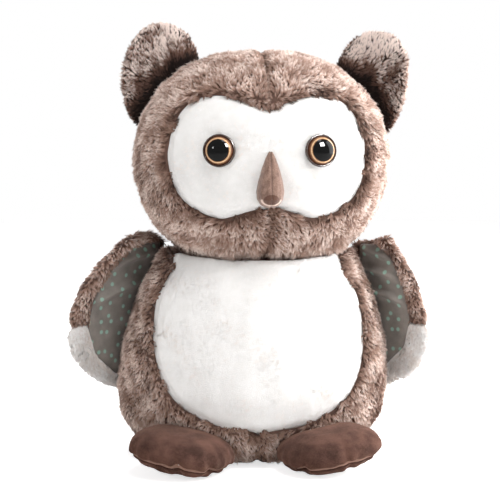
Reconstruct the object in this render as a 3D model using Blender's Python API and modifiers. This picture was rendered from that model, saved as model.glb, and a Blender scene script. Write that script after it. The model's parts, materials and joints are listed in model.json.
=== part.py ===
"""A plush owl toy, sewn from fur panels and stuffed. It faces -Y and stands on z = 0, in metres.

Left and right are the viewer's, looking at the owl's face: left is -X.
"""

import math

import bmesh
import bpy
import numpy as np
from mathutils import Matrix, Vector

# Cloth, clearances and cutters
GAP = 0.0003
OVERRUN = 0.03
WELD_DISTANCE = 0.000005
JOINT_MARK_SIZE = 0.003
FUR_CLOTH = 0.0025
VELOUR_CLOTH = 0.0018
SUEDE_CLOTH = 0.0012
FLAT_CUT = 0.0005
CUTTER_AROUND_COUNT = 20
SMOOTHING_STEPS_COUNT = 4

# Body, a pear that leans a little to the right as it sits
BODY_HALF_WIDTH = 0.106
BODY_HALF_DEPTH = 0.088
BODY_HEIGHT = 0.180
BODY_AROUND_COUNT = 26
BODY_RING_shares = (
    (0.00, 0.60, 0.62), (0.03, 0.735, 0.75), (0.09, 0.86, 0.86), (0.18, 0.97, 0.965),
    (0.30, 0.998, 1.00), (0.45, 0.985, 0.98), (0.60, 0.925, 0.92), (0.73, 0.845, 0.84),
    (0.84, 0.745, 0.745), (0.93, 0.635, 0.64), (1.00, 0.50, 0.50),
)
SIDE_SEAM_BACK = 0.012
BASE_PANEL_share = 0.90
PELLET_BAG_RADIUS = 0.046
PELLET_BAG_HEIGHT = 0.026
PELLET_BAG_SIDE_DEG = (60, 40, 20, 0, -25)

# Belly patch: height and half width of points down one edge, as shares of its sizes
BELLY_BORDER = 0.025
BELLY_HALF_WIDTH = BODY_HALF_WIDTH - BELLY_BORDER
BELLY_FOOT = 0.0295
BELLY_DROP = 0.008
BELLY_TOP = BODY_HEIGHT - BELLY_DROP
BELLY_EDGE_shares = (
    (1.00, 0.00), (0.99, 0.72), (0.84, 0.81), (0.69, 0.955), (0.53, 1.00), (0.39, 0.99),
    (0.27, 0.935), (0.16, 0.815), (0.08, 0.62), (0.025, 0.36), (0.00, 0.00),
)

# Head, a rounded box shape that sinks into the top of the body
HEAD_HALF_WIDTH = 0.099
HEAD_HALF_DEPTH = 0.081
HEAD_HALF_HEIGHT = 0.084
HEAD_SINK = 0.031
HEAD_MIDDLE_HEIGHT = BODY_HEIGHT - HEAD_SINK + HEAD_HALF_HEIGHT
HEAD_FORWARD = 0.005
HEAD_LEAN = 0.0085
HEAD_SQUARENESS_share = 2.2
HEAD_AROUND_COUNT = 26
HEAD_RINGS_COUNT = 13
HEAD_SEAM_BACK = 0.012

# Face patch: height and half width of points down one edge, as shares of its sizes
FACE_HALF_WIDTH = 0.075
FACE_DROP = 0.045
FACE_FOOT = HEAD_MIDDLE_HEIGHT - FACE_DROP
FACE_HEIGHT = 0.094
FACE_EDGE_shares = (
    (0.885, 0.00), (0.945, 0.21), (1.00, 0.52), (0.93, 0.80), (0.71, 0.96), (0.49, 1.00),
    (0.26, 0.93), (0.11, 0.77), (0.02, 0.48), (0.075, 0.24), (0.12, 0.00),
)

# Neck: the head turns on a tape ring and nods on it
NECK_HEIGHT = HEAD_MIDDLE_HEIGHT - HEAD_HALF_HEIGHT + FUR_CLOTH
NECK_OPENING_RADIUS = 0.025
NECK_TAPE_RADIUS = 0.020
NECK_TAPE_BORE_RADIUS = 0.011
NECK_TAPE_THICKNESS = 0.002
NECK_TAPE_AROUND_COUNT = 16
HEAD_TURN_DEG = 20.0
HEAD_NOD_DEG = 6.0
DISH_MARGIN = 0.0004
DISH_RADIUS = 0.096
DISH_RINGS_COUNT = 12
DISH_NODS_COUNT = 5
DISH_SLOPES_COUNT = 160
DISH_TURNS_COUNT = 90
DISH_BAND_share = 0.125

# Eyes: two-part safety eyes held by washers behind the face
EYE_HALF_SPACING = 0.0375
EYE_RAISE = 0.008
EYE_HEIGHT = HEAD_MIDDLE_HEIGHT + EYE_RAISE
EYE_RADIUS = 0.0123
EYE_RIM_WIDTH = 0.0013
EYE_BACK_THICKNESS = 0.0012
EYE_RIM_HEIGHT = 0.0026
EYE_IRIS_THICKNESS = 0.0004
EYE_DOME_EDGE = 0.0008
EYE_DOME_HEIGHT = 0.0050
EYE_STEM_RADIUS = 0.0025
EYE_STEM_LENGTH = 0.015
EYE_WASHER_RADIUS = 0.0095
EYE_WASHER_THICKNESS = 0.0015
EYE_WASHER_SAG = 0.0016
EYE_AROUND_COUNT = 18
EYE_HOLE_AROUND_COUNT = 12
EYE_DOME_DEG = (65, 45, 25, 0)

# Beak, a small stuffed suede teardrop
BEAK_RAISE = 0.009
BEAK_TOP = HEAD_MIDDLE_HEIGHT + BEAK_RAISE
BEAK_LENGTH = 0.044
BEAK_HALF_WIDTH = 0.0105
BEAK_REACH = 0.015
BEAK_AROUND_COUNT = 16
BEAK_RING_shares = (
    (0.02, 0.12, 0.10), (0.14, 0.36, 0.26), (0.32, 0.63, 0.50), (0.52, 0.86, 0.76),
    (0.70, 1.00, 0.96), (0.84, 0.94, 1.00), (0.94, 0.68, 0.78), (0.99, 0.30, 0.40),
)

# Ears, cupped flaps of two layers
EAR_HALF_WIDTH = 0.031
EAR_HALF_LENGTH = 0.043
EAR_HALF_THICKNESS = 0.008
EAR_CUP = 0.011
EAR_STANDOFF = {"left": 0.007, "right": 0.011}
EAR_BACK = 0.004
EAR_CLOCK_DEG = {"left": 51.0, "right": 57.0}
EAR_LEAN_DEG = {"left": -6.0, "right": 10.0}
EAR_TWIST_DEG = {"left": 6.0, "right": 26.0}
EAR_BEND_DEG = 12.0
EAR_FLARE_share = 0.2
EAR_FLARE_POWER = 4
EAR_AROUND_COUNT = 16
EAR_RINGS_COUNT = 10

# Wings, padded leaves hung at the shoulders
WING_HALF_LENGTH = 0.066
WING_HALF_WIDTH = 0.045
WING_HALF_THICKNESS = 0.0085
WING_CUP = 0.010
WING_TAPER_share = 0.10
WING_BULGE = 0.034
WING_INWARD = 0.010
WING_ROOT_INWARD = 0.020
WING_ROOT_REACH = 0.018
WING_TUCK = 0.005
WING_MIDDLE_OUT = BODY_HALF_WIDTH - WING_TUCK
WING_MIDDLE_BACK = 0.014
WING_DROP = 0.067
WING_MIDDLE_HEIGHT = BODY_HEIGHT - WING_DROP
WING_YAW_DEG = 38.0
WING_TILT_DEG = {"left": 7.0, "right": -30.0}
WING_BAND = 0.019
WING_HEM = 0.007
WING_TIP_DROP = 0.009
WING_TIP_HEIGHT = WING_MIDDLE_HEIGHT - WING_TIP_DROP
WING_PIVOT_INSET = 0.023
WING_PIVOT_OUT = WING_MIDDLE_OUT - WING_PIVOT_INSET
WING_PIVOT_DROP = 0.013
WING_PIVOT_HEIGHT = WING_MIDDLE_HEIGHT + WING_HALF_LENGTH - WING_PIVOT_DROP
WING_LIFT_DEG = 35.0
WING_LIFT_STEPS_COUNT = 3
WING_SQUARENESS_share = 2.4
WING_EDGE_share = 0.7
WING_FRONT_SPACE_share = 3.0
WING_AROUND_COUNT = 16
WING_RINGS_COUNT = 11
LINING_UP_shares = (0.78, 0.55, 0.25, -0.1, -0.45, -0.75)

# Feet, flat pads with three soft toes
FOOT_HALF_WIDTH = 0.0385
FOOT_HALF_LENGTH = 0.0365
FOOT_HEIGHT = 0.030
FOOT_SEAM_HEIGHT = 0.009
FOOT_SQUARENESS_share = 2.5
FOOT_NOTCH_share = 0.07
FOOT_NOTCH_WIDTH_DEG = 9.0
FOOT_NOTCH_DEG = (-24.0, 24.0)
FOOT_INSET = 0.0485
FOOT_OUT = BODY_HALF_WIDTH - FOOT_INSET
FOOT_TUCK = 0.004
FOOT_SHIFT = -0.0025
FOOT_ROLL_DEG = 9.0
FOOT_LIFT = 0.003
FOOT_FORWARD = BODY_HALF_DEPTH - FOOT_TUCK
FOOT_SPLAY_DEG = 27.0
FOOT_PIVOT_BEHIND = 0.014
FOOT_PIVOT_HEIGHT = 0.020
FOOT_FLEX_DEG = 10.0
FOOT_SIDE_share = 0.75
FOOT_AROUND_COUNT = 22
FOOT_RINGS_COUNT = 9

HEAD_MIDDLE = Vector((HEAD_LEAN, -HEAD_FORWARD, HEAD_MIDDLE_HEIGHT))
SIDE_SIGNS = {"left": -1, "right": 1}

# Colours from the photograph, linear
BROWN_FUR = (0.23, 0.15, 0.12)
DARK_FUR = (0.12, 0.075, 0.055)
WHITE_FUR = (0.90, 0.88, 0.86)
GREY_LINING = (0.24, 0.23, 0.21)
FOOT_VELOUR = (0.11, 0.055, 0.042)
BEAK_SUEDE = (0.22, 0.14, 0.11)
COPPER = (0.45, 0.22, 0.08)
RIM_BROWN = (0.05, 0.025, 0.015)
PUPIL_BLACK = (0.01, 0.01, 0.01)
WASHER_WHITE = (0.8, 0.8, 0.78)
FIBRE_WHITE = (0.85, 0.85, 0.83)
TAPE_BEIGE = (0.6, 0.55, 0.5)
BAG_CREAM = (0.7, 0.66, 0.58)


def start_scene():
    for obj in list(bpy.data.objects):
        bpy.data.objects.remove(obj)
    parts = bpy.data.collections.new("plush_owl")
    cutters = bpy.data.collections.new("plush_owl_cutters")
    for home in (parts, cutters):
        bpy.context.scene.collection.children.link(home)
    cutters.hide_render = True
    return parts, cutters


PARTS, CUTTERS = start_scene()


def material(name, color, roughness, metallic=0.0):
    made = bpy.data.materials.new(name)
    made.use_nodes = True
    shader = made.node_tree.nodes["Principled BSDF"]
    shader.inputs["Base Color"].default_value = (*color, 1.0)
    shader.inputs["Roughness"].default_value = roughness
    shader.inputs["Metallic"].default_value = metallic
    made.diffuse_color = (*color, 1.0)
    return made


BROWN = material("brown_fur", BROWN_FUR, 0.95)
EAR_INSIDE = material("dark_brown_fur", DARK_FUR, 0.95)
WHITE = material("white_plush", WHITE_FUR, 0.9)
LINING = material("grey_lining_cotton", GREY_LINING, 0.85)
VELOUR = material("foot_velour", FOOT_VELOUR, 0.75)
SUEDE = material("beak_suede", BEAK_SUEDE, 0.9)
RIM_PLASTIC = material("eye_rim_plastic", RIM_BROWN, 0.25)
IRIS_FOIL = material("eye_iris_foil", COPPER, 0.35, 0.6)
PUPIL_PLASTIC = material("eye_pupil_plastic", PUPIL_BLACK, 0.05)
WASHER_PLASTIC = material("washer_plastic", WASHER_WHITE, 0.4)
STUFFING = material("polyester_stuffing", FIBRE_WHITE, 1.0)
TAPE = material("neck_twill_tape", TAPE_BEIGE, 0.9)
BAG_CLOTH = material("pellet_bag_cotton", BAG_CREAM, 0.9)


# Shapes that stay out of the model: forms, outlines and boxes that cut


def keep_as_cutter(name, mesh, frame=None):
    obj = bpy.data.objects.new(name, mesh)
    CUTTERS.objects.link(obj)
    obj.matrix_world = frame or Matrix()
    obj.hide_render = True
    obj.display_type = "WIRE"
    return obj


def mesh_from(bm, name):
    bmesh.ops.recalc_face_normals(bm, faces=bm.faces)
    if bm.calc_volume(signed=True) < 0:
        bmesh.ops.reverse_faces(bm, faces=bm.faces)
    mesh = bpy.data.meshes.new(name)
    bm.to_mesh(mesh)
    bm.free()
    return mesh


def lofted(name, rings, frame=None):
    """A closed skin through rings of points, with a flat face on each end."""
    bm = bmesh.new()
    loops = [[bm.verts.new(point) for point in ring] for ring in rings]
    count = len(loops[0])
    for lower, upper in zip(loops, loops[1:]):
        for i in range(count):
            j = (i + 1) % count
            bm.faces.new((lower[i], lower[j], upper[j], upper[i]))
    bm.faces.new(reversed(loops[0]))
    bm.faces.new(loops[-1])
    return keep_as_cutter(name, mesh_from(bm, name), frame)


def box(name, low, high):
    bm = bmesh.new()
    bmesh.ops.create_cube(bm, size=1.0)
    low, high = Vector(low), Vector(high)
    for vert in bm.verts:
        share = vert.co + Vector((0.5, 0.5, 0.5))
        vert.co = Vector(a + (b - a) * s for a, b, s in zip(low, high, share))
    return keep_as_cutter(name, mesh_from(bm, name))


def turned(name, profile, frame, home=None, around=CUTTER_AROUND_COUNT):
    """A profile of (radius, height) points, run down its outer side, turned about the frame's Z."""
    mesh = bpy.data.meshes.new(name)
    points = [(radius, 0.0, height) for radius, height in profile]
    edges = [(i, i + 1) for i in range(len(points) - 1)]
    if min(radius for radius, _ in profile) > 0:
        edges.append((len(points) - 1, 0))
    mesh.from_pydata(points, edges, [])
    if home is None:
        obj = keep_as_cutter(name, mesh, frame)
    else:
        obj = bpy.data.objects.new(name, mesh)
        home.objects.link(obj)
        obj.matrix_world = frame
    screw = obj.modifiers.new("turn", "SCREW")
    screw.steps = around
    screw.render_steps = around
    screw.use_merge_vertices = True
    screw.merge_threshold = WELD_DISTANCE
    screw.use_smooth_shade = False
    return obj


def smooth_closed(points):
    """Points along a smooth closed curve through the given ones."""
    found = []
    count, steps = len(points), SMOOTHING_STEPS_COUNT
    for i in range(count):
        before, start, end, after = (Vector(points[(i + k) % count]) for k in (-1, 0, 1, 2))
        for step in range(steps):
            t = step / steps
            pull = (end - before) * t + (2 * before - 5 * start + 4 * end - after) * t**2
            pull += (3 * start - before - 3 * end + after) * t**3
            found.append(start + pull / 2)
    return found


def grown(points, distance):
    """A closed outline moved outwards by a distance; the points run clockwise."""
    found = []
    for i, point in enumerate(points):
        along = (points[(i + 1) % len(points)] - points[i - 1]).normalized()
        found.append(point + Vector((-along.y, along.x)) * distance)
    return found


def prism(name, points, front, back, frame):
    """A flat outline in the frame's XY plane, carried along its Z from front to back."""
    curve = bpy.data.curves.new(name, "CURVE")
    curve.dimensions = "2D"
    curve.fill_mode = "BOTH"
    curve.extrude = abs(back - front) / 2
    spline = curve.splines.new("POLY")
    spline.points.add(len(points) - 1)
    for spot, point in zip(spline.points, points):
        spot.co = (point.x, point.y, 0.0, 1.0)
    spline.use_cyclic_u = True
    drawn = bpy.data.objects.new(name, curve)
    bpy.context.scene.collection.objects.link(drawn)
    bpy.context.view_layer.update()
    mesh = bpy.data.meshes.new_from_object(drawn.evaluated_get(bpy.context.evaluated_depsgraph_get()))
    bpy.data.objects.remove(drawn)
    bm = bmesh.new()
    bm.from_mesh(mesh)
    bmesh.ops.remove_doubles(bm, verts=bm.verts, dist=WELD_DISTANCE)
    middle = Matrix.Translation((0, 0, (front + back) / 2))
    return keep_as_cutter(name, mesh_from(bm, name), frame @ middle)


def moved(cutter, name, change):
    """A copy of a cutter and its modifiers, moved in world space."""
    obj = cutter.copy()
    obj.name = name
    CUTTERS.objects.link(obj)
    obj.matrix_world = change @ cutter.matrix_world
    return obj


def turn_about(point, axis, degrees):
    there = Matrix.Translation(point)
    return there @ Matrix.Rotation(math.radians(degrees), 4, axis) @ there.inverted()


def piece(name, form, steps, finish, joint=None):
    """One sewn or moulded piece: a form that Boolean steps cut to its place."""
    if form.users_collection[0] == PARTS:
        obj = form
    else:
        obj = bpy.data.objects.new(name, form.data.copy())
        PARTS.objects.link(obj)
        obj.matrix_world = form.matrix_world.copy()
    for operation, cutter in steps:
        cut = obj.modifiers.new(f"{operation.lower()}_{cutter.name}"[:60], "BOOLEAN")
        cut.operation = operation
        cut.solver = cutter.get("solver", "EXACT")
        cut.object = cutter
    obj.data.materials.clear()
    obj.data.materials.append(finish)
    if joint:
        place = obj.matrix_world.copy()
        obj.parent = joint
        obj.matrix_parent_inverse = joint.matrix_world.inverted()
        obj.matrix_world = place
    return obj


def joint_at(name, place, axis, parent=None):
    """An empty on a joint's axis, its own X along the axis."""
    empty = bpy.data.objects.new(name, None)
    PARTS.objects.link(empty)
    empty.empty_display_size = JOINT_MARK_SIZE
    turn = Vector(axis).to_track_quat("X", "Z").to_matrix().to_4x4()
    empty.matrix_world = Matrix.Translation(place) @ turn
    if parent:
        there = empty.matrix_world.copy()
        empty.parent = parent
        empty.matrix_parent_inverse = parent.matrix_world.inverted()
        empty.matrix_world = there
    bpy.context.view_layer.update()
    return empty


# Body and head forms


def lean_at(height):
    return HEAD_LEAN * height / HEAD_MIDDLE_HEIGHT


def body_form(name, inset):
    rings = []
    for height_share, width_share, depth_share in BODY_RING_shares:
        height = inset + height_share * (BODY_HEIGHT - inset - inset)
        half_width = BODY_HALF_WIDTH * width_share - inset
        half_depth = BODY_HALF_DEPTH * depth_share - inset
        ring = []
        for i in range(BODY_AROUND_COUNT):
            angle = math.tau * i / BODY_AROUND_COUNT
            x = lean_at(height) + half_width * math.cos(angle)
            ring.append((x, half_depth * math.sin(angle), height))
        rings.append(ring)
    return lofted(name, rings)


def rounded(direction, half_sizes, squareness):
    """The point of a rounded box shape in a direction from its middle."""
    total = sum(abs(d / h) ** squareness for d, h in zip(direction, half_sizes))
    return Vector(direction) * total ** (-1 / squareness)


def head_sizes(inset):
    return (HEAD_HALF_WIDTH - inset, HEAD_HALF_DEPTH - inset, HEAD_HALF_HEIGHT - inset)


def head_form(name, inset):
    bm = bmesh.new()
    bmesh.ops.create_uvsphere(
        bm, u_segments=HEAD_AROUND_COUNT, v_segments=HEAD_RINGS_COUNT, radius=1.0
    )
    for vert in bm.verts:
        vert.co = rounded(vert.co, head_sizes(inset), HEAD_SQUARENESS_share)
    return keep_as_cutter(name, mesh_from(bm, name), Matrix.Translation(HEAD_MIDDLE))


def head_front(x, height):
    """Where the head's front lies at a place seen from the front, and which way it faces."""
    halves = head_sizes(0.0)
    n = HEAD_SQUARENESS_share
    across, up = x - HEAD_MIDDLE.x, height - HEAD_MIDDLE.z
    left = 1 - abs(across / halves[0]) ** n - abs(up / halves[2]) ** n
    deep = -halves[1] * left ** (1 / n)
    place = HEAD_MIDDLE + Vector((across, deep, up))
    facing = Vector(
        math.copysign(abs(d / h) ** (n - 1) / h, d) for d, h in zip((across, deep, up), halves)
    )
    return place, facing.normalized()


def head_dish():
    """What the turning, nodding head sweeps at its underside, as a shape turned about the neck."""
    pivot = Vector((lean_at(NECK_HEIGHT), 0.0, NECK_HEIGHT))
    found = []
    halves = head_sizes(0.0)
    for nod in np.linspace(-HEAD_NOD_DEG, HEAD_NOD_DEG, DISH_NODS_COUNT):
        turn = turn_about(pivot, Vector((1, 0, 0)), nod)
        for slope in np.linspace(0.0, math.pi / 2, DISH_SLOPES_COUNT):
            for angle in np.linspace(0.0, math.tau, DISH_TURNS_COUNT, endpoint=False):
                level = math.sin(slope)
                spot = (level * math.cos(angle), level * math.sin(angle), -math.cos(slope))
                point = turn @ (HEAD_MIDDLE + rounded(spot, halves, HEAD_SQUARENESS_share))
                found.append((math.hypot(point.x - pivot.x, point.y - pivot.y), point.z))
    found = np.array(found)
    step = DISH_RADIUS / DISH_RINGS_COUNT
    spread = 1 / math.cos(math.pi / BODY_AROUND_COUNT)
    profile = []
    for i in range(DISH_RINGS_COUNT + 1):
        radius = i * step
        near = found[np.abs(found[:, 0] - radius) < step * DISH_BAND_share]
        height = near[:, 1].min() - DISH_MARGIN
        if radius < NECK_TAPE_RADIUS:
            height = NECK_HEIGHT - NECK_TAPE_THICKNESS - GAP
        profile.append((radius * spread, height))
    top = HEAD_MIDDLE_HEIGHT + OVERRUN
    outline = [(0.0, top), (profile[-1][0], top)] + profile[::-1]
    outline[-1] = (0.0, outline[-1][1])
    frame = Matrix.Translation((pivot.x, pivot.y, 0.0))
    return turned("head_sweep_cutter", outline, frame, around=BODY_AROUND_COUNT)


def edge_outline(shares, middle, foot, height, half_width):
    """A patch's outline, from the points down its right edge."""
    right = [Vector((middle + half_width * across, foot + height * up)) for up, across in shares]
    left = [Vector((middle + middle - point.x, point.y)) for point in right[-2:0:-1]]
    return smooth_closed(right + left)


# The frame of a front view's outline: its X is the world's, its Y is height, its Z faces forward
FRONT_VIEW = Matrix(((1, 0, 0, 0), (0, 0, -1, 0), (0, 1, 0, 0), (0, 0, 0, 1)))


def patch_cutters(name, outline, reach, solver="EXACT"):
    """The outline of a patch as a cutter, and one a seam's gap larger for its neighbours."""
    inner = prism(f"{name}_cutter", outline, 0.0, reach, FRONT_VIEW)
    outer = prism(f"{name}_clear_cutter", grown(outline, GAP), 0.0, reach, FRONT_VIEW)
    outer["solver"] = solver
    return inner, outer


def quarter_boxes(name, middle, seam, reach):
    """Four upright boxes that part a form at its centre seams and its side seams."""
    low, high = -reach, reach
    half = GAP / 2
    spans = {"left": (low, middle - half), "right": (middle + half, high)}
    depths = {"front": (low, seam - half), "back": (seam + half, high)}
    found = {}
    for side, (x0, x1) in spans.items():
        for face, (y0, y1) in depths.items():
            label = f"{name}_{face}_{side}_cutter"
            found[face, side] = box(label, (x0, y0, low), (x1, y1, reach + reach))
    return found


def make_body(dish):
    outer = body_form("body_form", 0.0)
    inner = body_form("body_inner_form", FUR_CLOTH)
    stuffed = body_form("body_stuffing_form", FUR_CLOTH + GAP)
    reach = BODY_HALF_WIDTH + OVERRUN
    outline = edge_outline(
        BELLY_EDGE_shares, lean_at(BELLY_TOP) / 2, BELLY_FOOT, BELLY_TOP - BELLY_FOOT, BELLY_HALF_WIDTH
    )
    belly, belly_clear = patch_cutters("belly", outline, reach, "MANIFOLD")
    base, base_clear = base_cutters()
    quarters = quarter_boxes("body", lean_at(BELLY_FOOT), SIDE_SEAM_BACK, reach)
    hollow = [("DIFFERENCE", dish), ("DIFFERENCE", inner)]
    piece("belly_panel", outer, hollow + [("INTERSECT", belly)], WHITE)
    piece("base_panel", outer, hollow + [("INTERSECT", base)], BROWN)
    for (face, side), quarter in quarters.items():
        patch = [("DIFFERENCE", belly_clear)] if face == "front" else []
        steps = hollow + patch + [("INTERSECT", quarter), ("DIFFERENCE", base_clear)]
        piece(f"body_{face}_{side}_panel", outer, steps, BROWN)
    bag_frame = Matrix.Translation((0, 0, FUR_CLOTH + GAP))
    bag = turned("pellet_bag", bag_profile(0.0), bag_frame, PARTS)
    pocket = turned("pellet_bag_pocket_cutter", bag_profile(GAP), bag_frame)
    piece("pellet_bag", bag, [], BAG_CLOTH)
    piece("body_stuffing", stuffed, [("DIFFERENCE", dish), ("DIFFERENCE", pocket)], STUFFING)


def base_cutters():
    """Upright oval cutters for the base panel's edge, one a seam's gap larger."""
    found = []
    for name, grow in (("base_cutter", 0.0), ("base_clear_cutter", GAP)):
        half_width = BODY_HALF_WIDTH * BODY_RING_shares[0][1] * BASE_PANEL_share + grow
        half_depth = BODY_HALF_DEPTH * BODY_RING_shares[0][2] * BASE_PANEL_share + grow
        rings = []
        for height in (-OVERRUN, FUR_CLOTH + FUR_CLOTH + grow):
            angles = [math.tau * i / BODY_AROUND_COUNT for i in range(BODY_AROUND_COUNT)]
            rings.append([(half_width * math.cos(a), half_depth * math.sin(a), height) for a in angles])
        found.append(lofted(name, rings))
    return found


def bag_profile(grow):
    """A flattened bag, run from its top down to its flat underside."""
    radius, height = PELLET_BAG_RADIUS + grow, PELLET_BAG_HEIGHT + grow
    points = [(0.0, height)]
    for degrees in PELLET_BAG_SIDE_DEG:
        angle = math.radians(degrees)
        points.append((radius * math.cos(angle), height / 2 * (1 + math.sin(angle))))
    low = -OVERRUN if grow else 0.0
    return points + [(points[-1][0], low), (0.0, low)]


# Head and face


def make_head(joint, eyes, neck_opening, neck_relief):
    outer = head_form("head_form", 0.0)
    inner = head_form("head_inner_form", FUR_CLOTH)
    stuffed = head_form("head_stuffing_form", FUR_CLOTH + GAP)
    reach = HEAD_MIDDLE_HEIGHT
    outline = edge_outline(FACE_EDGE_shares, HEAD_LEAN, FACE_FOOT, FACE_HEIGHT, FACE_HALF_WIDTH)
    face, face_clear = patch_cutters("face", outline, reach)
    hollow = [("DIFFERENCE", inner)]
    holes = [("DIFFERENCE", eye["hole"]) for eye in eyes]
    piece("face_panel", outer, hollow + [("INTERSECT", face)] + holes, WHITE, joint)
    for (part, side), quarter in quarter_boxes("head", HEAD_LEAN, HEAD_SEAM_BACK, reach).items():
        patch = [("DIFFERENCE", face_clear)] if part == "front" else []
        steps = hollow + patch + [("INTERSECT", quarter), ("DIFFERENCE", neck_opening)]
        piece(f"head_{part}_{side}_panel", outer, steps, BROWN, joint)
    room = neck_relief + [eye["pocket"] for eye in eyes]
    steps = [("DIFFERENCE", cutter) for cutter in room]
    piece("head_stuffing", stuffed, steps, STUFFING, joint)


def neck_tape_profile(grow, bore):
    """The tape ring's cross-section, or with no bore the space that it needs."""
    top, low = grow, -NECK_TAPE_THICKNESS - grow
    radius = NECK_TAPE_RADIUS + grow
    if bore:
        return [(radius, top), (radius, low), (bore, low), (bore, top)]
    low -= OVERRUN
    return [(0.0, top), (radius, top), (radius, low), (0.0, low)]


def make_neck(turn_joint):
    """The tape ring, and the space that the nodding head leaves for it."""
    pivot = Vector((lean_at(NECK_HEIGHT), 0.0, NECK_HEIGHT))
    frame = Matrix.Translation(pivot)
    profile = neck_tape_profile(0.0, NECK_TAPE_BORE_RADIUS)
    tape = turned("neck_tape", profile, frame, PARTS, NECK_TAPE_AROUND_COUNT)
    piece("neck_tape", tape, [], TAPE, turn_joint)
    radius = NECK_OPENING_RADIUS
    column = [(0.0, OVERRUN), (radius, OVERRUN), (radius, -OVERRUN), (0.0, -OVERRUN)]
    opening = turned("neck_opening_cutter", column, frame)
    room_profile = neck_tape_profile(GAP, 0.0)
    room = turned("neck_relief_cutter", room_profile, frame, around=NECK_TAPE_AROUND_COUNT)
    found = [room]
    for label, nod in (("back", -HEAD_NOD_DEG), ("forward", HEAD_NOD_DEG)):
        change = turn_about(pivot, Vector((1, 0, 0)), nod)
        found.append(moved(room, f"neck_relief_{label}_cutter", change))
    return opening, found


def eye_frame(side):
    place, facing = head_front(HEAD_LEAN + SIDE_SIGNS[side] * EYE_HALF_SPACING, EYE_HEIGHT)
    turn = facing.to_track_quat("Z", "Y").to_matrix().to_4x4()
    return Matrix.Translation(place) @ turn


def make_eye(side, joint):
    """An eye from its stem outwards; heights are from the face's surface."""
    frame = eye_frame(side)
    stem, floor = EYE_STEM_RADIUS, GAP + EYE_BACK_THICKNESS
    rim_top = GAP + EYE_RIM_HEIGHT
    inside = EYE_RADIUS - EYE_RIM_WIDTH
    back = [
        (0.0, floor), (inside, floor), (inside, rim_top), (EYE_RADIUS, rim_top),
        (EYE_RADIUS, GAP), (stem, GAP), (stem, -EYE_STEM_LENGTH), (0.0, -EYE_STEM_LENGTH),
    ]
    obj = turned(f"eye_{side}_back", back, frame, PARTS, EYE_AROUND_COUNT)
    piece(obj.name, obj, [], RIM_PLASTIC, joint)
    iris_low = floor + GAP
    iris_top = iris_low + EYE_IRIS_THICKNESS
    disc_radius = inside - GAP
    iris = [(0.0, iris_top), (disc_radius, iris_top), (disc_radius, iris_low), (0.0, iris_low)]
    obj = turned(f"eye_{side}_iris", iris, frame, PARTS, EYE_AROUND_COUNT)
    piece(obj.name, obj, [], IRIS_FOIL, joint)
    low = iris_top + GAP
    shoulder = low + EYE_DOME_EDGE
    dome = [(0.0, shoulder + EYE_DOME_HEIGHT)]
    for degrees in EYE_DOME_DEG:
        angle = math.radians(degrees)
        height = shoulder + EYE_DOME_HEIGHT * math.sin(angle)
        dome.append((disc_radius * math.cos(angle), height))
    dome += [(disc_radius, low), (0.0, low)]
    obj = turned(f"eye_{side}_dome", dome, frame, PARTS, EYE_AROUND_COUNT)
    piece(obj.name, obj, [], PUPIL_PLASTIC, joint)
    top = -FUR_CLOTH - EYE_WASHER_SAG - GAP
    low, bore = top - EYE_WASHER_THICKNESS, stem + GAP
    ring = [(EYE_WASHER_RADIUS, top), (EYE_WASHER_RADIUS, low), (bore, low), (bore, top)]
    obj = turned(f"eye_{side}_washer", ring, frame, PARTS, EYE_AROUND_COUNT)
    piece(obj.name, obj, [], WASHER_PLASTIC, joint)
    hole = [(0.0, OVERRUN), (bore, OVERRUN), (bore, -OVERRUN), (0.0, -OVERRUN)]
    wide, deep = EYE_WASHER_RADIUS + GAP, low - GAP
    pocket = [
        (0.0, OVERRUN), (wide, OVERRUN), (wide, deep), (bore, deep),
        (bore, -EYE_STEM_LENGTH - GAP), (0.0, -EYE_STEM_LENGTH - GAP),
    ]
    return {
        "hole": turned(f"eye_{side}_hole_cutter", hole, frame, around=EYE_HOLE_AROUND_COUNT),
        "pocket": turned(f"eye_{side}_pocket_cutter", pocket, frame, around=EYE_AROUND_COUNT),
    }


def beak_form(name, inset):
    """A teardrop whose rings run from its pointed top down to its rounded foot."""
    rings = []
    for down_share, width_share, reach_share in BEAK_RING_shares:
        height = BEAK_TOP - inset - down_share * (BEAK_LENGTH - inset - inset)
        half_width = (BEAK_HALF_WIDTH - inset) * width_share
        surface, _ = head_front(HEAD_LEAN, height)
        reach = (BEAK_REACH - inset) * reach_share
        ring = []
        for i in range(BEAK_AROUND_COUNT):
            angle = math.tau * i / BEAK_AROUND_COUNT
            depth = surface.y + reach * math.sin(angle)
            ring.append((HEAD_LEAN + half_width * math.cos(angle), depth, height))
        rings.append(ring)
    return lofted(name, rings)


def make_beak(joint, head_clear):
    outer = beak_form("beak_form", 0.0)
    inner = beak_form("beak_inner_form", SUEDE_CLOTH)
    stuffed = beak_form("beak_stuffing_form", SUEDE_CLOTH + GAP)
    reach = HEAD_MIDDLE_HEIGHT
    half = GAP / 2
    spans = {"left": (-reach, HEAD_LEAN - half), "right": (HEAD_LEAN + half, reach)}
    for side, (x0, x1) in spans.items():
        half_space = box(f"beak_{side}_cutter", (x0, -reach, -reach), (x1, reach, reach + reach))
        steps = [("DIFFERENCE", inner), ("INTERSECT", half_space), ("DIFFERENCE", head_clear)]
        piece(f"beak_{side}_panel", outer, steps, SUEDE, joint)
    piece("beak_stuffing", stuffed, [("DIFFERENCE", head_clear)], STUFFING, joint)


# Ears


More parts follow.
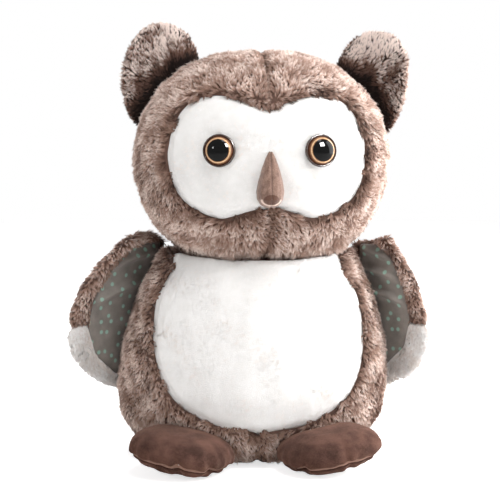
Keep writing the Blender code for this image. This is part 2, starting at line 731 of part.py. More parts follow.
def ear_layer(name, frame, facing):
    """One layer of a cupped ear flap: the half of a rounded leaf on one side of its middle sheet."""
    bm = bmesh.new()
    bmesh.ops.create_uvsphere(
        bm, u_segments=EAR_AROUND_COUNT, v_segments=EAR_RINGS_COUNT, radius=1.0
    )
    for vert in bm.verts:
        vert.co.y *= EAR_HALF_THICKNESS
    everything = list(bm.verts) + list(bm.edges) + list(bm.faces)
    side = Vector((0, facing, 0))
    cut = bmesh.ops.bisect_plane(
        bm, geom=everything, plane_co=side * GAP / 2, plane_no=side, clear_inner=True
    )
    rim = [part for part in cut["geom_cut"] if isinstance(part, bmesh.types.BMEdge)]
    bmesh.ops.contextual_create(bm, geom=rim)
    bmesh.ops.triangulate(bm, faces=[face for face in bm.faces if len(face.verts) > 4])
    for vert in bm.verts:
        across, depth, up = vert.co
        width = EAR_HALF_WIDTH * across * (1 + EAR_FLARE_share * up**EAR_FLARE_POWER)
        cupped = depth - EAR_CUP * across**2
        vert.co = (width, cupped, EAR_HALF_LENGTH * up)
    return keep_as_cutter(name, mesh_from(bm, name), frame)


def ear_place(side):
    """The ear's frame, and its hinge where it meets the head."""
    sign = SIDE_SIGNS[side]
    clock = math.radians(EAR_CLOCK_DEG[side])
    direction = Vector((sign * math.sin(clock), 0.0, math.cos(clock)))
    root = HEAD_MIDDLE + rounded(direction, head_sizes(0.0), HEAD_SQUARENESS_share)
    hinge = root + Vector((0, EAR_BACK + HEAD_FORWARD, 0))
    axis = Vector((direction.z, 0.0, -direction.x))
    lean = Matrix.Rotation(math.radians(sign * EAR_LEAN_DEG[side]), 4, "Y")
    twist = Matrix.Rotation(math.radians(-sign * EAR_TWIST_DEG[side]), 4, "Z")
    frame = Matrix.Translation(hinge + direction * EAR_STANDOFF[side]) @ lean @ twist
    return frame, hinge, axis


def make_ear(side, head_joint, head_clear):
    frame, hinge, axis = ear_place(side)
    joint = joint_at(f"ear_{side}_joint", hinge, axis, head_joint)
    steps = []
    for label, bend in (("forward", EAR_BEND_DEG), ("back", -EAR_BEND_DEG)):
        change = turn_about(hinge, axis, bend)
        steps.append(("DIFFERENCE", moved(head_clear, f"ear_{side}_head_{label}_cutter", change)))
    front = ear_layer(f"ear_{side}_front_form", frame, -1)
    back = ear_layer(f"ear_{side}_back_form", frame, 1)
    piece(f"ear_{side}_front", front, steps, EAR_INSIDE, joint)
    piece(f"ear_{side}_back", back, steps, BROWN, joint)


# Wings


def wing_place(side):
    """The wing's frame: X to the viewer's right, Y up, Z facing forward and inward."""
    sign = SIDE_SIGNS[side]
    yaw = math.radians(WING_YAW_DEG)
    facing = Vector((-sign * math.sin(yaw), -math.cos(yaw), 0.0))
    frame = Matrix.Identity(4)
    frame.col[0][:3] = (math.cos(yaw), -sign * math.sin(yaw), 0.0)
    frame.col[1][:3] = (0, 0, 1)
    frame.col[2][:3] = facing
    frame.translation = (sign * WING_MIDDLE_OUT, WING_MIDDLE_BACK, WING_MIDDLE_HEIGHT)
    return frame @ Matrix.Rotation(math.radians(WING_TILT_DEG[side]), 4, "Z")


def wing_spine(up):
    """How far out, and how far forward, the middle of the wing lies at a height share."""
    rise = (1 + up) / 2
    out = WING_BULGE * (1 - up**2) - WING_INWARD - WING_ROOT_INWARD * rise**3
    return out, WING_ROOT_REACH * rise**2


def wing_half_width(up):
    n = WING_SQUARENESS_share
    return WING_HALF_WIDTH * (1 - abs(up) ** n) ** (1 / n) * (1 - WING_TAPER_share * (1 + up) / 2)


def wing_form(name, side, inset, front_only=False):
    """The padded leaf, or the space in front of its middle sheet."""
    sign = SIDE_SIGNS[side]
    bm = bmesh.new()
    bmesh.ops.create_uvsphere(
        bm, u_segments=WING_AROUND_COUNT, v_segments=WING_RINGS_COUNT, radius=1.0
    )
    for vert in bm.verts:
        across, deep, up = vert.co
        level = math.sqrt(max(0.0, 1 - up**2))
        half_width = wing_half_width(up) * (WING_HALF_WIDTH - inset) / WING_HALF_WIDTH
        edge = across / level if level else 0.0
        front = deep / level if level else 0.0
        y = (WING_HALF_LENGTH - inset) * up
        out, forward = wing_spine(y / WING_HALF_LENGTH)
        bulge = (WING_HALF_THICKNESS - inset) * front * level**WING_EDGE_share
        if front_only:
            bulge = max(bulge, 0.0) * WING_FRONT_SPACE_share
        cup = WING_CUP * max(edge, 0.0) ** 2 * level
        x = sign * (out + half_width * edge)
        vert.co = (x, y, forward + bulge + cup)
    return keep_as_cutter(name, mesh_from(bm, name), wing_place(side))


def lining_outline(sign, grow):
    """The lining's edge on the wing's front, a fur band in from its outer edge and a hem from its inner."""
    outer, inner = [], []
    for up in LINING_UP_shares:
        out, _ = wing_spine(up)
        half_width = wing_half_width(up)
        y = WING_HALF_LENGTH * up
        outer.append(Vector((sign * (out + half_width - WING_BAND), y)))
        inner.append(Vector((sign * (out - half_width + WING_HEM), y)))
    return grown(outer + inner[::-1], grow * sign)


def make_wing(side, steps_at_body):
    sign = SIDE_SIGNS[side]
    frame = wing_place(side)
    pivot = Vector((sign * WING_PIVOT_OUT, 0.0, WING_PIVOT_HEIGHT))
    axis = Vector((0, -sign, 0))
    joint = joint_at(f"wing_{side}_joint", pivot, axis)
    clear = []
    for cutter in steps_at_body:
        for step in range(WING_LIFT_STEPS_COUNT):
            lift = WING_LIFT_DEG * step / (WING_LIFT_STEPS_COUNT - 1)
            change = turn_about(pivot, axis, -lift)
            copy = moved(cutter, f"wing_{side}_{cutter.name}_{step}", change)
            clear.append(("DIFFERENCE", copy))
    outer = wing_form(f"wing_{side}_form", side, 0.0)
    inner = wing_form(f"wing_{side}_inner_form", side, FUR_CLOTH)
    stuffed = wing_form(f"wing_{side}_padding_form", side, FUR_CLOTH + GAP)
    reach = WING_HALF_LENGTH
    front = wing_form(f"wing_{side}_front_cutter", side, 0.0, front_only=True)
    lining = prism(f"wing_{side}_lining_cutter", lining_outline(sign, 0.0), -reach, reach, frame)
    edge = lining_outline(sign, GAP)
    lining_clear = prism(f"wing_{side}_lining_clear_cutter", edge, -reach, reach, frame)
    for cutter in (lining, lining_clear):
        keep_front = cutter.modifiers.new("front", "BOOLEAN")
        keep_front.operation = "INTERSECT"
        keep_front.object = front
    span = BODY_HEIGHT
    half = GAP / 2
    seam_low, seam_high = WING_TIP_HEIGHT - half, WING_TIP_HEIGHT + half
    low = box(f"wing_{side}_tip_cutter", (-span, -span, -span), (span, span, seam_low))
    high = box(f"wing_{side}_upper_cutter", (-span, -span, seam_high), (span, span, span + span))
    shell = clear + [("DIFFERENCE", inner)]
    piece(f"wing_{side}_lining", outer, shell + [("INTERSECT", lining)], LINING, joint)
    rest = shell + [("DIFFERENCE", lining_clear)]
    piece(f"wing_{side}_outer", outer, rest + [("INTERSECT", high)], BROWN, joint)
    piece(f"wing_{side}_tip", outer, rest + [("INTERSECT", low)], WHITE, joint)
    piece(f"wing_{side}_padding", stuffed, clear, STUFFING, joint)


# Feet


def foot_place(side):
    """The foot's frame: Y forward along the foot, X across it, Z up."""
    sign = SIDE_SIGNS[side]
    splay = math.radians(FOOT_SPLAY_DEG)
    forward = Vector((sign * math.sin(splay), -math.cos(splay), 0.0))
    frame = Matrix.Identity(4)
    frame.col[0][:3] = (forward.y, -forward.x, 0.0)
    frame.col[1][:3] = forward
    frame.translation = (sign * FOOT_OUT + FOOT_SHIFT, -FOOT_FORWARD, 0.0)
    return frame


def foot_tilt(side, frame):
    """The turn that lifts the foot's outer edge off the floor."""
    roll = Matrix.Rotation(math.radians(SIDE_SIGNS[side] * FOOT_ROLL_DEG), 4, "Y")
    return frame @ Matrix.Translation((0, 0, FOOT_LIFT)) @ roll @ frame.inverted()


def foot_form(name, frame, inset):
    bm = bmesh.new()
    bmesh.ops.create_uvsphere(
        bm, u_segments=FOOT_AROUND_COUNT, v_segments=FOOT_RINGS_COUNT, radius=1.0
    )
    n = FOOT_SQUARENESS_share
    for vert in bm.verts:
        across, along, up = vert.co
        level = math.hypot(across, along)
        if level > 0:
            spot = rounded((across / level, along / level), (1.0, 1.0), n)
            spot *= level**FOOT_SIDE_share
        else:
            spot = Vector((0.0, 0.0))
        angle = math.degrees(math.atan2(across, along))
        notch = sum(math.exp(-(((angle - at) / FOOT_NOTCH_WIDTH_DEG) ** 2)) for at in FOOT_NOTCH_DEG)
        spot *= 1 - FOOT_NOTCH_share * notch
        height = (FOOT_HEIGHT + FLAT_CUT) / 2
        middle = height - FLAT_CUT
        x = (FOOT_HALF_WIDTH - inset) * spot[0]
        y = (FOOT_HALF_LENGTH - inset) * spot[1]
        vert.co = (x, y, middle + (height - inset) * up)
    return keep_as_cutter(name, mesh_from(bm, name), frame)


def make_foot(side, body_clear):
    frame = foot_place(side)
    forward = frame.col[1].to_3d()
    pivot = frame.translation - forward * FOOT_PIVOT_BEHIND + Vector((0, 0, FOOT_PIVOT_HEIGHT))
    axis = Vector((forward.y, -forward.x, 0.0))
    joint = joint_at(f"foot_{side}_joint", pivot, axis)
    clear = []
    for label, flex in (("rest", 0.0), ("flexed", FOOT_FLEX_DEG)):
        change = turn_about(pivot, axis, -flex)
        clear.append(("DIFFERENCE", moved(body_clear, f"foot_{side}_body_{label}_cutter", change)))
    tilt = foot_tilt(side, frame)
    outer = foot_form(f"foot_{side}_form", tilt @ frame, 0.0)
    inner = foot_form(f"foot_{side}_inner_form", tilt @ frame, VELOUR_CLOTH)
    stuffed = foot_form(f"foot_{side}_stuffing_form", tilt @ frame, VELOUR_CLOTH + GAP)
    span = BODY_HEIGHT
    half = GAP / 2
    seam_low, seam_high = FOOT_SEAM_HEIGHT - half, FOOT_SEAM_HEIGHT + half
    low = box(f"foot_{side}_sole_level", (-span, -span, -span), (span, span, seam_low))
    low = moved(low, f"foot_{side}_sole_cutter", tilt)
    high = box(f"foot_{side}_upper_level", (-span, -span, seam_high), (span, span, span))
    high = moved(high, f"foot_{side}_upper_cutter", tilt)
    above = box(f"foot_{side}_ground_cutter", (-span, -span, 0.0), (span, span, span))
    inside = box(f"foot_{side}_floor_cutter", (-span, -span, VELOUR_CLOTH + GAP), (span, span, span))
    hollow = keep_as_cutter(f"foot_{side}_hollow_cutter", inner.data, inner.matrix_world)
    hollow.modifiers.new("floor", "BOOLEAN").object = box(
        f"foot_{side}_hollow_floor_cutter", (-span, -span, -span), (span, span, VELOUR_CLOTH)
    )
    shell = clear + [("DIFFERENCE", hollow)]
    piece(f"foot_{side}_sole", outer, shell + [("INTERSECT", low), ("INTERSECT", above)], VELOUR, joint)
    piece(f"foot_{side}_upper", outer, shell + [("INTERSECT", high)], VELOUR, joint)
    piece(f"foot_{side}_stuffing", stuffed, [("INTERSECT", inside)] + clear, STUFFING, joint)


def main():
    neck = Vector((lean_at(NECK_HEIGHT), 0.0, NECK_HEIGHT))
    turn_joint = joint_at("head_turn_joint", neck, (0, 0, 1))
    nod_joint = joint_at("head_nod_joint", neck, (1, 0, 0), turn_joint)
    dish = head_dish()
    neck_opening, neck_relief = make_neck(turn_joint)
    make_body(dish)
    eyes = [make_eye(side, nod_joint) for side in SIDE_SIGNS]
    make_head(nod_joint, eyes, neck_opening, neck_relief)
    head_clear = head_form("head_clear_cutter", -GAP)
    body_clear = body_form("body_clear_cutter", -GAP)
    make_beak(nod_joint, head_clear)
    for side in SIDE_SIGNS:
        make_ear(side, nod_joint, head_clear)
        make_wing(side, (body_clear, dish))
        make_foot(side, body_clear)


main()
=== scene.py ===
# %% [markdown]
# # A plush owl, dressed
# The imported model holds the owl's pieces as plain solids: stuffing, cloth panels, eyes and a beak. This
# lesson gives them their looks. A plush toy is mostly fur, so most of the work is one helper that grows
# locks of strands on a skin, and a few skins to grow them on.

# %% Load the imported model
import json
import math
from dataclasses import dataclass, replace

import bmesh
import bpy
import numpy as np
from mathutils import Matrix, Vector
from mathutils.bvhtree import BVHTree
from mathutils.kdtree import KDTree

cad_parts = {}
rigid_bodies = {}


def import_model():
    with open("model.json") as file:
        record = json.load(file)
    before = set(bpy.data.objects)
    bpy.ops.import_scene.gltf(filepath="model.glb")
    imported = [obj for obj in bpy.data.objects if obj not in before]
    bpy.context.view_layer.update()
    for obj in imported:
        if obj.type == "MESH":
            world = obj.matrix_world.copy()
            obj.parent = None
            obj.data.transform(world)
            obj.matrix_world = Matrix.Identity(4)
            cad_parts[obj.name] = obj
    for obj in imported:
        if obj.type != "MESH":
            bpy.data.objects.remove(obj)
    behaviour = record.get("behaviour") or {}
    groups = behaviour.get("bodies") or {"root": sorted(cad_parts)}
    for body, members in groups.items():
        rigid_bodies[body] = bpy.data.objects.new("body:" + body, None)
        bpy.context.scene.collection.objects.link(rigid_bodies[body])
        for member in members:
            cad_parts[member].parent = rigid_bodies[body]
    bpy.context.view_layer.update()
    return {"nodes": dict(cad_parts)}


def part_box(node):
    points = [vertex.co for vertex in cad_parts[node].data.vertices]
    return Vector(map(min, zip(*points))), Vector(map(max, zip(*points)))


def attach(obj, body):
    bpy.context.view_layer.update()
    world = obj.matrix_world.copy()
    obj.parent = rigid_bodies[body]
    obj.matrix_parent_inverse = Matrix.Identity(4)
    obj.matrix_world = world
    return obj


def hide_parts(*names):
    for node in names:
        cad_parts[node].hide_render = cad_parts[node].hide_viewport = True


for leftover in list(bpy.data.objects):
    bpy.data.objects.remove(leftover)
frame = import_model()
SCENE = bpy.context.scene
SIDES = ("left", "right")

# %% [markdown]
# ## Camera, lamps and floor
# The photograph is a catalogue shot: a long lens a little above the middle, turned a few degrees, and soft
# lamps, the largest far to the right. The light spot in the eyes comes from a lamp of its own, which only
# shows in what mirrors, so that it leaves the fur alone. Floor and background are white to the camera and
# plain to everything else.

# %% Camera
CAMERA_AZIMUTH_DEG = -4.5
CAMERA_DISTANCE = 1.2
CAMERA_HEIGHT = 0.2566
CAMERA_LENS = 108.0
AIM = Vector((0.0, 0.0, 0.1606))


def aimed(obj, target):
    obj.rotation_euler = (target - obj.location).to_track_quat("-Z", "Y").to_euler()


def new_object(name, data):
    """An object with that data, linked to the scene."""
    obj = bpy.data.objects.new(name, data)
    SCENE.collection.objects.link(obj)
    return obj


camera = new_object("camera", bpy.data.cameras.new("camera"))
azimuth = math.radians(CAMERA_AZIMUTH_DEG)
flat_distance = math.sqrt(CAMERA_DISTANCE**2 - (CAMERA_HEIGHT - AIM.z) ** 2)
camera.location = (
    AIM.x + flat_distance * math.sin(azimuth), -flat_distance * math.cos(azimuth), CAMERA_HEIGHT
)
camera.data.lens = CAMERA_LENS
aimed(camera, AIM)
SCENE.camera = camera
SCENE.view_settings.view_transform = "Standard"

# %% Lamps
# Each lamp has its degrees round the owl from the front, its degrees up, its size in metres and its power.
LAMPS = {
    "key": (40, 34, 0.30, 2.6),
    "top": (20, 66, 0.40, 8.4),
    "side": (94, 18, 1.40, 44.0),
    "fill": (-50, 20, 0.16, 3.7),
    "back": (172, 42, 0.80, 9.0),
    "catch": (31, 36, 0.46, 120.0),
}
MIRRORED_ONLY = ("catch",)
LAMP_DISTANCE = 1.3
for name, (around_deg, up_deg, size, power) in LAMPS.items():
    lamp = bpy.data.lights.new(name, "AREA")
    lamp.size = size
    lamp.energy = power
    obj = new_object(name, lamp)
    around, up = math.radians(around_deg), math.radians(up_deg)
    way = Vector((math.sin(around) * math.cos(up), -math.cos(around) * math.cos(up), math.sin(up)))
    obj.location = AIM + way * LAMP_DISTANCE
    obj.visible_diffuse = name not in MIRRORED_ONLY
    aimed(obj, AIM)
print(len(LAMPS), "lamps")

# %% [markdown]
# ## Shader sums as Python
# A material here is a sum of masks and colours. One small class wraps a socket, so that `1 - mask` or `mask
# * 0.5` adds the Math nodes, and one method adds any other node.


# %% A wire in a node tree
class Wire:
    """A socket of a node tree that can stand in a sum."""

    def __init__(self, tree, socket=None):
        self.tree, self.socket = tree, socket

    def add(self, kind, settings=None, sockets=None, out=0):
        """A new node: its settings are set first, then values or wires go into its sockets."""
        node = self.tree.nodes.new(kind)
        for key, value in (settings or {}).items():
            if key != "stops":
                setattr(node, key, value)
                continue
            stops = node.color_ramp.elements
            while len(stops) < len(value):
                stops.new(1.0)
            for stop, (place, color) in zip(stops, value):
                stop.position = place
                stop.color = (*color, 1.0)
        for key, value in (sockets or {}).items():
            if isinstance(value, Wire):
                self.tree.links.new(value.socket, node.inputs[key])
            else:
                node.inputs[key].default_value = value
        return Wire(self.tree, node.outputs[out])

    def calc(self, operation, first, second):
        return self.add("ShaderNodeMath", {"operation": operation}, {0: first, 1: second})

    def __add__(self, other):
        return self.calc("ADD", self, other)

    def __sub__(self, other):
        return self.calc("SUBTRACT", self, other)

    def __rsub__(self, other):
        return self.calc("SUBTRACT", other, self)

    def __mul__(self, other):
        return self.calc("MULTIPLY", self, other)

    __radd__ = __add__
    __rmul__ = __mul__

    def size(self):
        """How far its value is from 0."""
        return self.calc("ABSOLUTE", self, 0.0)

    def axis(self, letter):
        return self.add("ShaderNodeSeparateXYZ", None, {0: self}, letter)

    def between(self, low, high):
        """0 below low, 1 above high, and a smooth step from one to the other."""
        settings = {"interpolation_type": "SMOOTHSTEP"}
        return self.add("ShaderNodeMapRange", settings, {0: self, 1: low, 2: high})

    def blend(self, first, second):
        """The first color where this mask is 0, the second where it is 1."""
        return self.add("ShaderNodeMix", {"data_type": "RGBA"}, {0: self, 6: first, 7: second}, 2)

    def tinted(self, tint):
        """This color multiplied by another."""
        settings = {"data_type": "RGBA", "blend_type": "MULTIPLY"}
        return self.add("ShaderNodeMix", settings, {0: 1.0, 6: self, 7: tint}, 2)

    def noise(self, scale, detail=2.0):
        """Cloudy noise over the coordinates that this wire holds."""
        return self.add("ShaderNodeTexNoise", None, {"Vector": self, "Scale": scale, "Detail": detail})

    def attribute(self, name):
        return self.add("ShaderNodeAttribute", {"attribute_name": name}, None, "Fac")

    def at_rest(self):
        """Coordinates that ride with the piece, in metres."""
        return self.add("ShaderNodeTexCoord", None, None, "Object")

    def bump(self, distance, strength=1.0):
        sockets = {"Height": self, "Distance": distance, "Strength": strength}
        return self.add("ShaderNodeBump", None, sockets)


def rgb(red, green, blue):
    """A screen color from 0 to 255 as the light that it stands for."""
    shares = [value / 255 for value in (red, green, blue)]
    parts = [s / 12.92 if s < 0.0404 else ((s + 0.055) / 1.055) ** 2.4 for s in shares]
    return (*parts, 1.0)


def finish(name, constants, paint):
    """A material: constants go on the shader's own sockets, and paint returns wires by socket name."""
    made = bpy.data.materials.new(name)
    made.use_nodes = True
    shader = made.node_tree.nodes["Principled BSDF"]
    for key, value in constants.items():
        shader.inputs[key].default_value = value
    for key, wire in paint(Wire(made.node_tree)).items():
        made.node_tree.links.new(wire.socket, shader.inputs[key])
    return made


# %% World and floor
FLOOR_HALF_SIZE = 3.0
FLOOR_COLOR = (0.9, 0.9, 0.9, 1.0)
FLOOR_GLOW = (0.70, 0.70, 0.70, 1.0)
AMBIENT = (0.30, 0.295, 0.295, 1.0)
WHITE = (1.0, 1.0, 1.0, 1.0)
BLACK = (0.0, 0.0, 0.0, 1.0)


def seen_or_mirrored(start):
    """1 for what the camera, a gloss or glass sees, 0 for the light that falls on things."""
    camera_ray, glossy_ray, transmission_ray = (
        start.add("ShaderNodeLightPath", None, None, f"Is {kind} Ray")
        for kind in ("Camera", "Glossy", "Transmission")
    )
    return (camera_ray + glossy_ray + transmission_ray).between(0.0, 1.0)


def white_world():
    world = bpy.data.worlds.new("studio")
    world.use_nodes = True
    background = world.node_tree.nodes["Background"]
    color = seen_or_mirrored(Wire(world.node_tree)).blend(AMBIENT, WHITE)
    world.node_tree.links.new(color.socket, background.inputs["Color"])
    SCENE.world = world


def white_floor():
    mesh = bpy.data.meshes.new("floor")
    size = FLOOR_HALF_SIZE
    corners = [(-size, -size, 0), (size, -size, 0), (size, size, 0), (-size, size, 0)]
    mesh.from_pydata(corners, [], [(0, 1, 2, 3)])
    floor = new_object("floor", mesh)
    mesh.materials.append(finish(
        "floor_white",
        {"Base Color": FLOOR_COLOR, "Roughness": 1.0, "Specular IOR Level": 0.0, "Emission Strength": 1.0},
        lambda start: {"Emission Color": seen_or_mirrored(start).blend(BLACK, FLOOR_GLOW)},
    ))


white_world()
white_floor()

# %% [markdown]
# ## Skins from the plain solids
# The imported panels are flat-faced and parted by thin gaps. A voxel remesh round a whole head closes the
# gaps and gives an even net of small quads, smoothing takes the flat faces away, and every point can then
# ask which panel it belongs to. Where two panels are equally near there is a seam, so the same question
# also finds the seams.

# %% One closed skin round some nodes
WELD = 1e-6
TINY = 1e-9


def applied(obj):
    """The object's mesh with its modifiers applied; the object goes."""
    bpy.context.view_layer.update()
    mesh = bpy.data.meshes.new_from_object(obj.evaluated_get(bpy.context.evaluated_depsgraph_get()))
    bpy.data.objects.remove(obj)
    return mesh


def reshaped(mesh, kind, **settings):
    """The mesh after one modifier."""
    obj = new_object("reshaped", mesh)
    modifier = obj.modifiers.new("modifier", kind)
    for key, value in settings.items():
        setattr(modifier, key, value)
    return applied(obj)


def keep_largest_part(mesh):
    bm = bmesh.new()
    bm.from_mesh(mesh)
    seen, best = set(), []
    for start in bm.verts:
        if start in seen:
            continue
        seen.add(start)
        part = [start]
        for vert in part:
            for edge in vert.link_edges:
                other = edge.other_vert(vert)
                if other not in seen:
                    seen.add(other)
                    part.append(other)
        best = max(best, part, key=len)
    kept = set(best)
    bmesh.ops.delete(bm, geom=[vert for vert in bm.verts if vert not in kept], context="VERTS")
    bm.to_mesh(mesh)
    bm.free()


def skin_round(nodes, voxel, smoothing, grow):
    """The closed smooth skin round some nodes, as a mesh of even quads."""
    bm = bmesh.new()
    for node in nodes:
        bm.from_mesh(frame["nodes"][node].data)
    bmesh.ops.remove_doubles(bm, verts=bm.verts, dist=WELD)
    mesh = bpy.data.meshes.new("skin")
    bm.to_mesh(mesh)
    bm.free()
    made = reshaped(mesh, "REMESH", mode="VOXEL", voxel_size=voxel)
    keep_largest_part(made)
    made = reshaped(made, "SMOOTH", iterations=smoothing)
    return reshaped(made, "DISPLACE", strength=grow, mid_level=0.0)


def triples(items, name):
    """One row of three numbers for each item."""
    found = np.empty(len(items) * 3, np.float32)
    items.foreach_get(name, found)
    return found.reshape(-1, 3).astype(float)


def points_of(mesh):
    return triples(mesh.vertices, "co")


def normals_of(mesh):
    return triples(mesh.vertices, "normal")


def mark(mesh, name, values):
    """A number for each point, which a material can read by that name."""
    layer = mesh.attributes.new(name, "FLOAT", "POINT")
    layer.data.foreach_set("value", np.asarray(values, np.float32))


def set_points(mesh, points):
    mesh.vertices.foreach_set("co", points.astype(np.float32).ravel())
    mesh.update()


def unit(vectors):
    return vectors / np.maximum(np.linalg.norm(vectors, axis=-1, keepdims=True), TINY)


def bell(values, reach):
    """1 where a value is 0, about a third at the reach and close to 0 at twice the reach."""
    return np.exp(-((values / reach) ** 2))


def surface_of(node):
    """A node's surface, ready to be asked for its nearest point."""
    mesh = frame["nodes"][node].data
    return BVHTree.FromPolygons([v.co for v in mesh.vertices], [p.vertices for p in mesh.polygons])


def distances(points, nodes):
    """How far each point is from each node's surface."""
    trees = [surface_of(node) for node in nodes]
    return np.array([[tree.find_nearest(point)[3] for tree in trees] for point in points])


def ripple(points, length, seed):
    """Smooth noise from about -1 to 1 whose hills are that long."""
    rng = np.random.default_rng(seed)
    total = np.zeros(len(points))
    for _ in range(7):
        wave = unit(rng.normal(size=3)) * math.tau / length / rng.uniform(1.2, 2.4)
        total += np.sin(points @ wave + rng.uniform(0, math.tau))
    return total / 3.0


# %% [markdown]
# ## A sewn part
# A sewn part is a skin and the panels it is cut into. Each panel becomes a cloth shell as thick as its
# backing, and under them lies the filling, one closed body. The seams draw the skin in.


# %% Sewn parts
BAG_VOXEL = 0.005
CLOTH_FRAMES = 20
NEIGHBOURS = 4
EDGE_SMOOTHING_STEPS = 12
THIN_FILLING_SMOOTHING = 3
# A skin is given by its voxel size, smoothing steps, growth, seam depth and seam width.
COVER_SKIN = (0.0022, 14, 0.0004, 0.0022, 0.003)
EAR_SKIN = (0.0014, 6, 0.0002, 0.0008, 0.003)
WING_SKIN = (0.0016, 6, 0.0003, 0.0016, 0.003)
FOOT_SKIN = (0.0011, 5, 0.0002, 0.0014, 0.0018)
BEAK_SKIN = (0.0006, 5, 0.0001, 0.0007, 0.0012)


class SewnPart:
    """A skin round some nodes, with the panel that each point belongs to."""

    def __init__(self, name, body, panels, stuffing, skin, extra=()):
        self.name, self.body, self.panels, self.stuffing = name, body, panels, stuffing
        self.voxel, smoothing, grow, seam_depth, seam_width = skin
        nodes = [*panels, stuffing, *extra] if stuffing else panels
        self.mesh = skin_round(nodes, self.voxel, smoothing, grow)
        points = points_of(self.mesh)
        gaps = np.sort(distances(points, panels), axis=1)
        self.away = gaps[:, 1] - gaps[:, 0]
        mark(self.mesh, "seam", self.away)
        depth = seam_depth * bell(self.away, seam_width)
        set_points(self.mesh, points - normals_of(self.mesh) * depth[:, None])
        print(name, "skin has", len(points), "points")

    def shape(self, change):
        """Moves the skin's points along their normals by what change returns for them."""
        points = points_of(self.mesh)
        set_points(self.mesh, points + normals_of(self.mesh) * change(points)[:, None])

    def swell(self, pressure, cap):
        """Lets a coarse copy, held at its seams, swell as cloth, and moves the skin with it."""
        bag = new_object("bag", reshaped(self.mesh, "REMESH", mode="VOXEL", voxel_size=BAG_VOXEL))
        start = points_of(bag.data)
        gaps = np.sort(distances(start, self.panels), axis=1)
        at_seam = np.flatnonzero(gaps[:, 1] - gaps[:, 0] < BAG_VOXEL)
        held = bag.vertex_groups.new(name="seams")
        held.add([int(index) for index in at_seam], 1.0, "REPLACE")
        cloth = bag.modifiers.new("cloth", "CLOTH")
        cloth.settings.use_pressure = True
        cloth.settings.uniform_pressure_force = pressure
        cloth.settings.effector_weights.gravity = 0.0
        cloth.settings.vertex_group_mass = "seams"
        cloth.point_cache.frame_start = 1
        cloth.point_cache.frame_end = CLOTH_FRAMES
        for step in range(1, CLOTH_FRAMES + 1):
            SCENE.frame_set(step)
        moves = points_of(applied(bag)) - start
        SCENE.frame_set(1)
        far = np.linalg.norm(moves, axis=1, keepdims=True)
        moves *= np.minimum(1.0, cap / np.maximum(far, TINY))
        tree = KDTree(len(start))
        for index, point in enumerate(start):
            tree.insert(point, index)
        tree.balance()
        points = points_of(self.mesh)
        for index, point in enumerate(points):
            found = tree.find_n(point, NEIGHBOURS)
            weights = np.array([1.0 / (distance + 1e-4) for _, _, distance in found])
            near_moves = moves[[near for _, near, _ in found]]
            points[index] += (near_moves * weights[:, None]).sum(0) / weights.sum()
        set_points(self.mesh, points)
        print(self.name, "swelled by", round(float(far.max()) * 1000, 1), "mm before the cap")

    def fill(self, inset, finish_made, slot, amount, thin=False):
        """The filling under the cloth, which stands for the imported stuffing."""
        if thin:
            mesh = skin_round([self.stuffing], self.voxel, THIN_FILLING_SMOOTHING, -inset)
        else:
            mesh = self.mesh.copy()
            set_points(mesh, points_of(self.mesh) - normals_of(self.mesh) * inset)
        obj = new_object(f"{self.name}_filling", mesh)
        add_piece(obj, self.body, finish_made)
        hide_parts(self.stuffing)

    def cut(self, thickness, finishes):
        """One closed shell of cloth for each panel."""
        centres = triples(self.mesh.polygons, "center")
        owner = distances(centres, self.panels).argmin(1)
        for index, panel in enumerate(self.panels):
            made, slot = finishes[panel]
            mesh = faces_kept(self.mesh, owner == index)
            smooth_edge(mesh)
            shell = reshaped(mesh, "SOLIDIFY", thickness=thickness, offset=-1.0)
            obj = new_object(f"{panel}_cloth", shell)
            add_piece(obj, self.body, made)
            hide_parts(panel)


def faces_kept(mesh, mask):
    bm = bmesh.new()
    bm.from_mesh(mesh)
    bm.faces.ensure_lookup_table()
    bmesh.ops.delete(bm, geom=[bm.faces[i] for i in np.flatnonzero(~mask)], context="FACES")
    made = bpy.data.meshes.new("kept")
    bm.to_mesh(made)
    bm.free()
    return made


def smooth_edge(mesh):
    """Takes the steps out of a panel's cut edge."""
    bm = bmesh.new()
    bm.from_mesh(mesh)
    edge = [vert for vert in bm.verts if vert.is_boundary]
    for _ in range(EDGE_SMOOTHING_STEPS):
        moved = []
        for vert in edge:
            beside = [link.other_vert(vert).co for link in vert.link_edges if link.is_boundary]
            moved.append((vert.co + sum(beside, Vector()) / len(beside)) / 2)
        for vert, place in zip(edge, moved):
            vert.co = place
    bm.to_mesh(mesh)
    bm.free()


def clear_of(nodes, space):
    """A test for the roots that come nearer to some nodes than that."""
    return lambda roots: distances(roots, nodes).min(1) < space


def add_piece(obj, body, made):
    """Gives a piece its finish and lets it ride on its body."""
    obj.data.materials.clear()
    obj.data.materials.append(made)
    obj.data.shade_smooth()
    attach(obj, body)


# %% [markdown]
# ## Fur
# The toy's fur is a dense pile whose strands gather in small locks. A lock is a bundle of thin blades that
# stand close at the root and lean together at the tip, so dark shows between locks and light lies on them.
# Blades as real mesh cost three triangles each and cast true shadows. A colour map of their own, one cell a
# blade, keeps the finish with them.


# %% Locks of blades
@dataclass
class Coat:
    """How one kind of pile grows. Lengths are in metres."""

    spacing: float
    blades: int
    length: float
    lean_deg: float
    width: float
    clump: float
    wander_deg: float
    arch: float
    twist: float = 0.6
    soft: float = 0.7


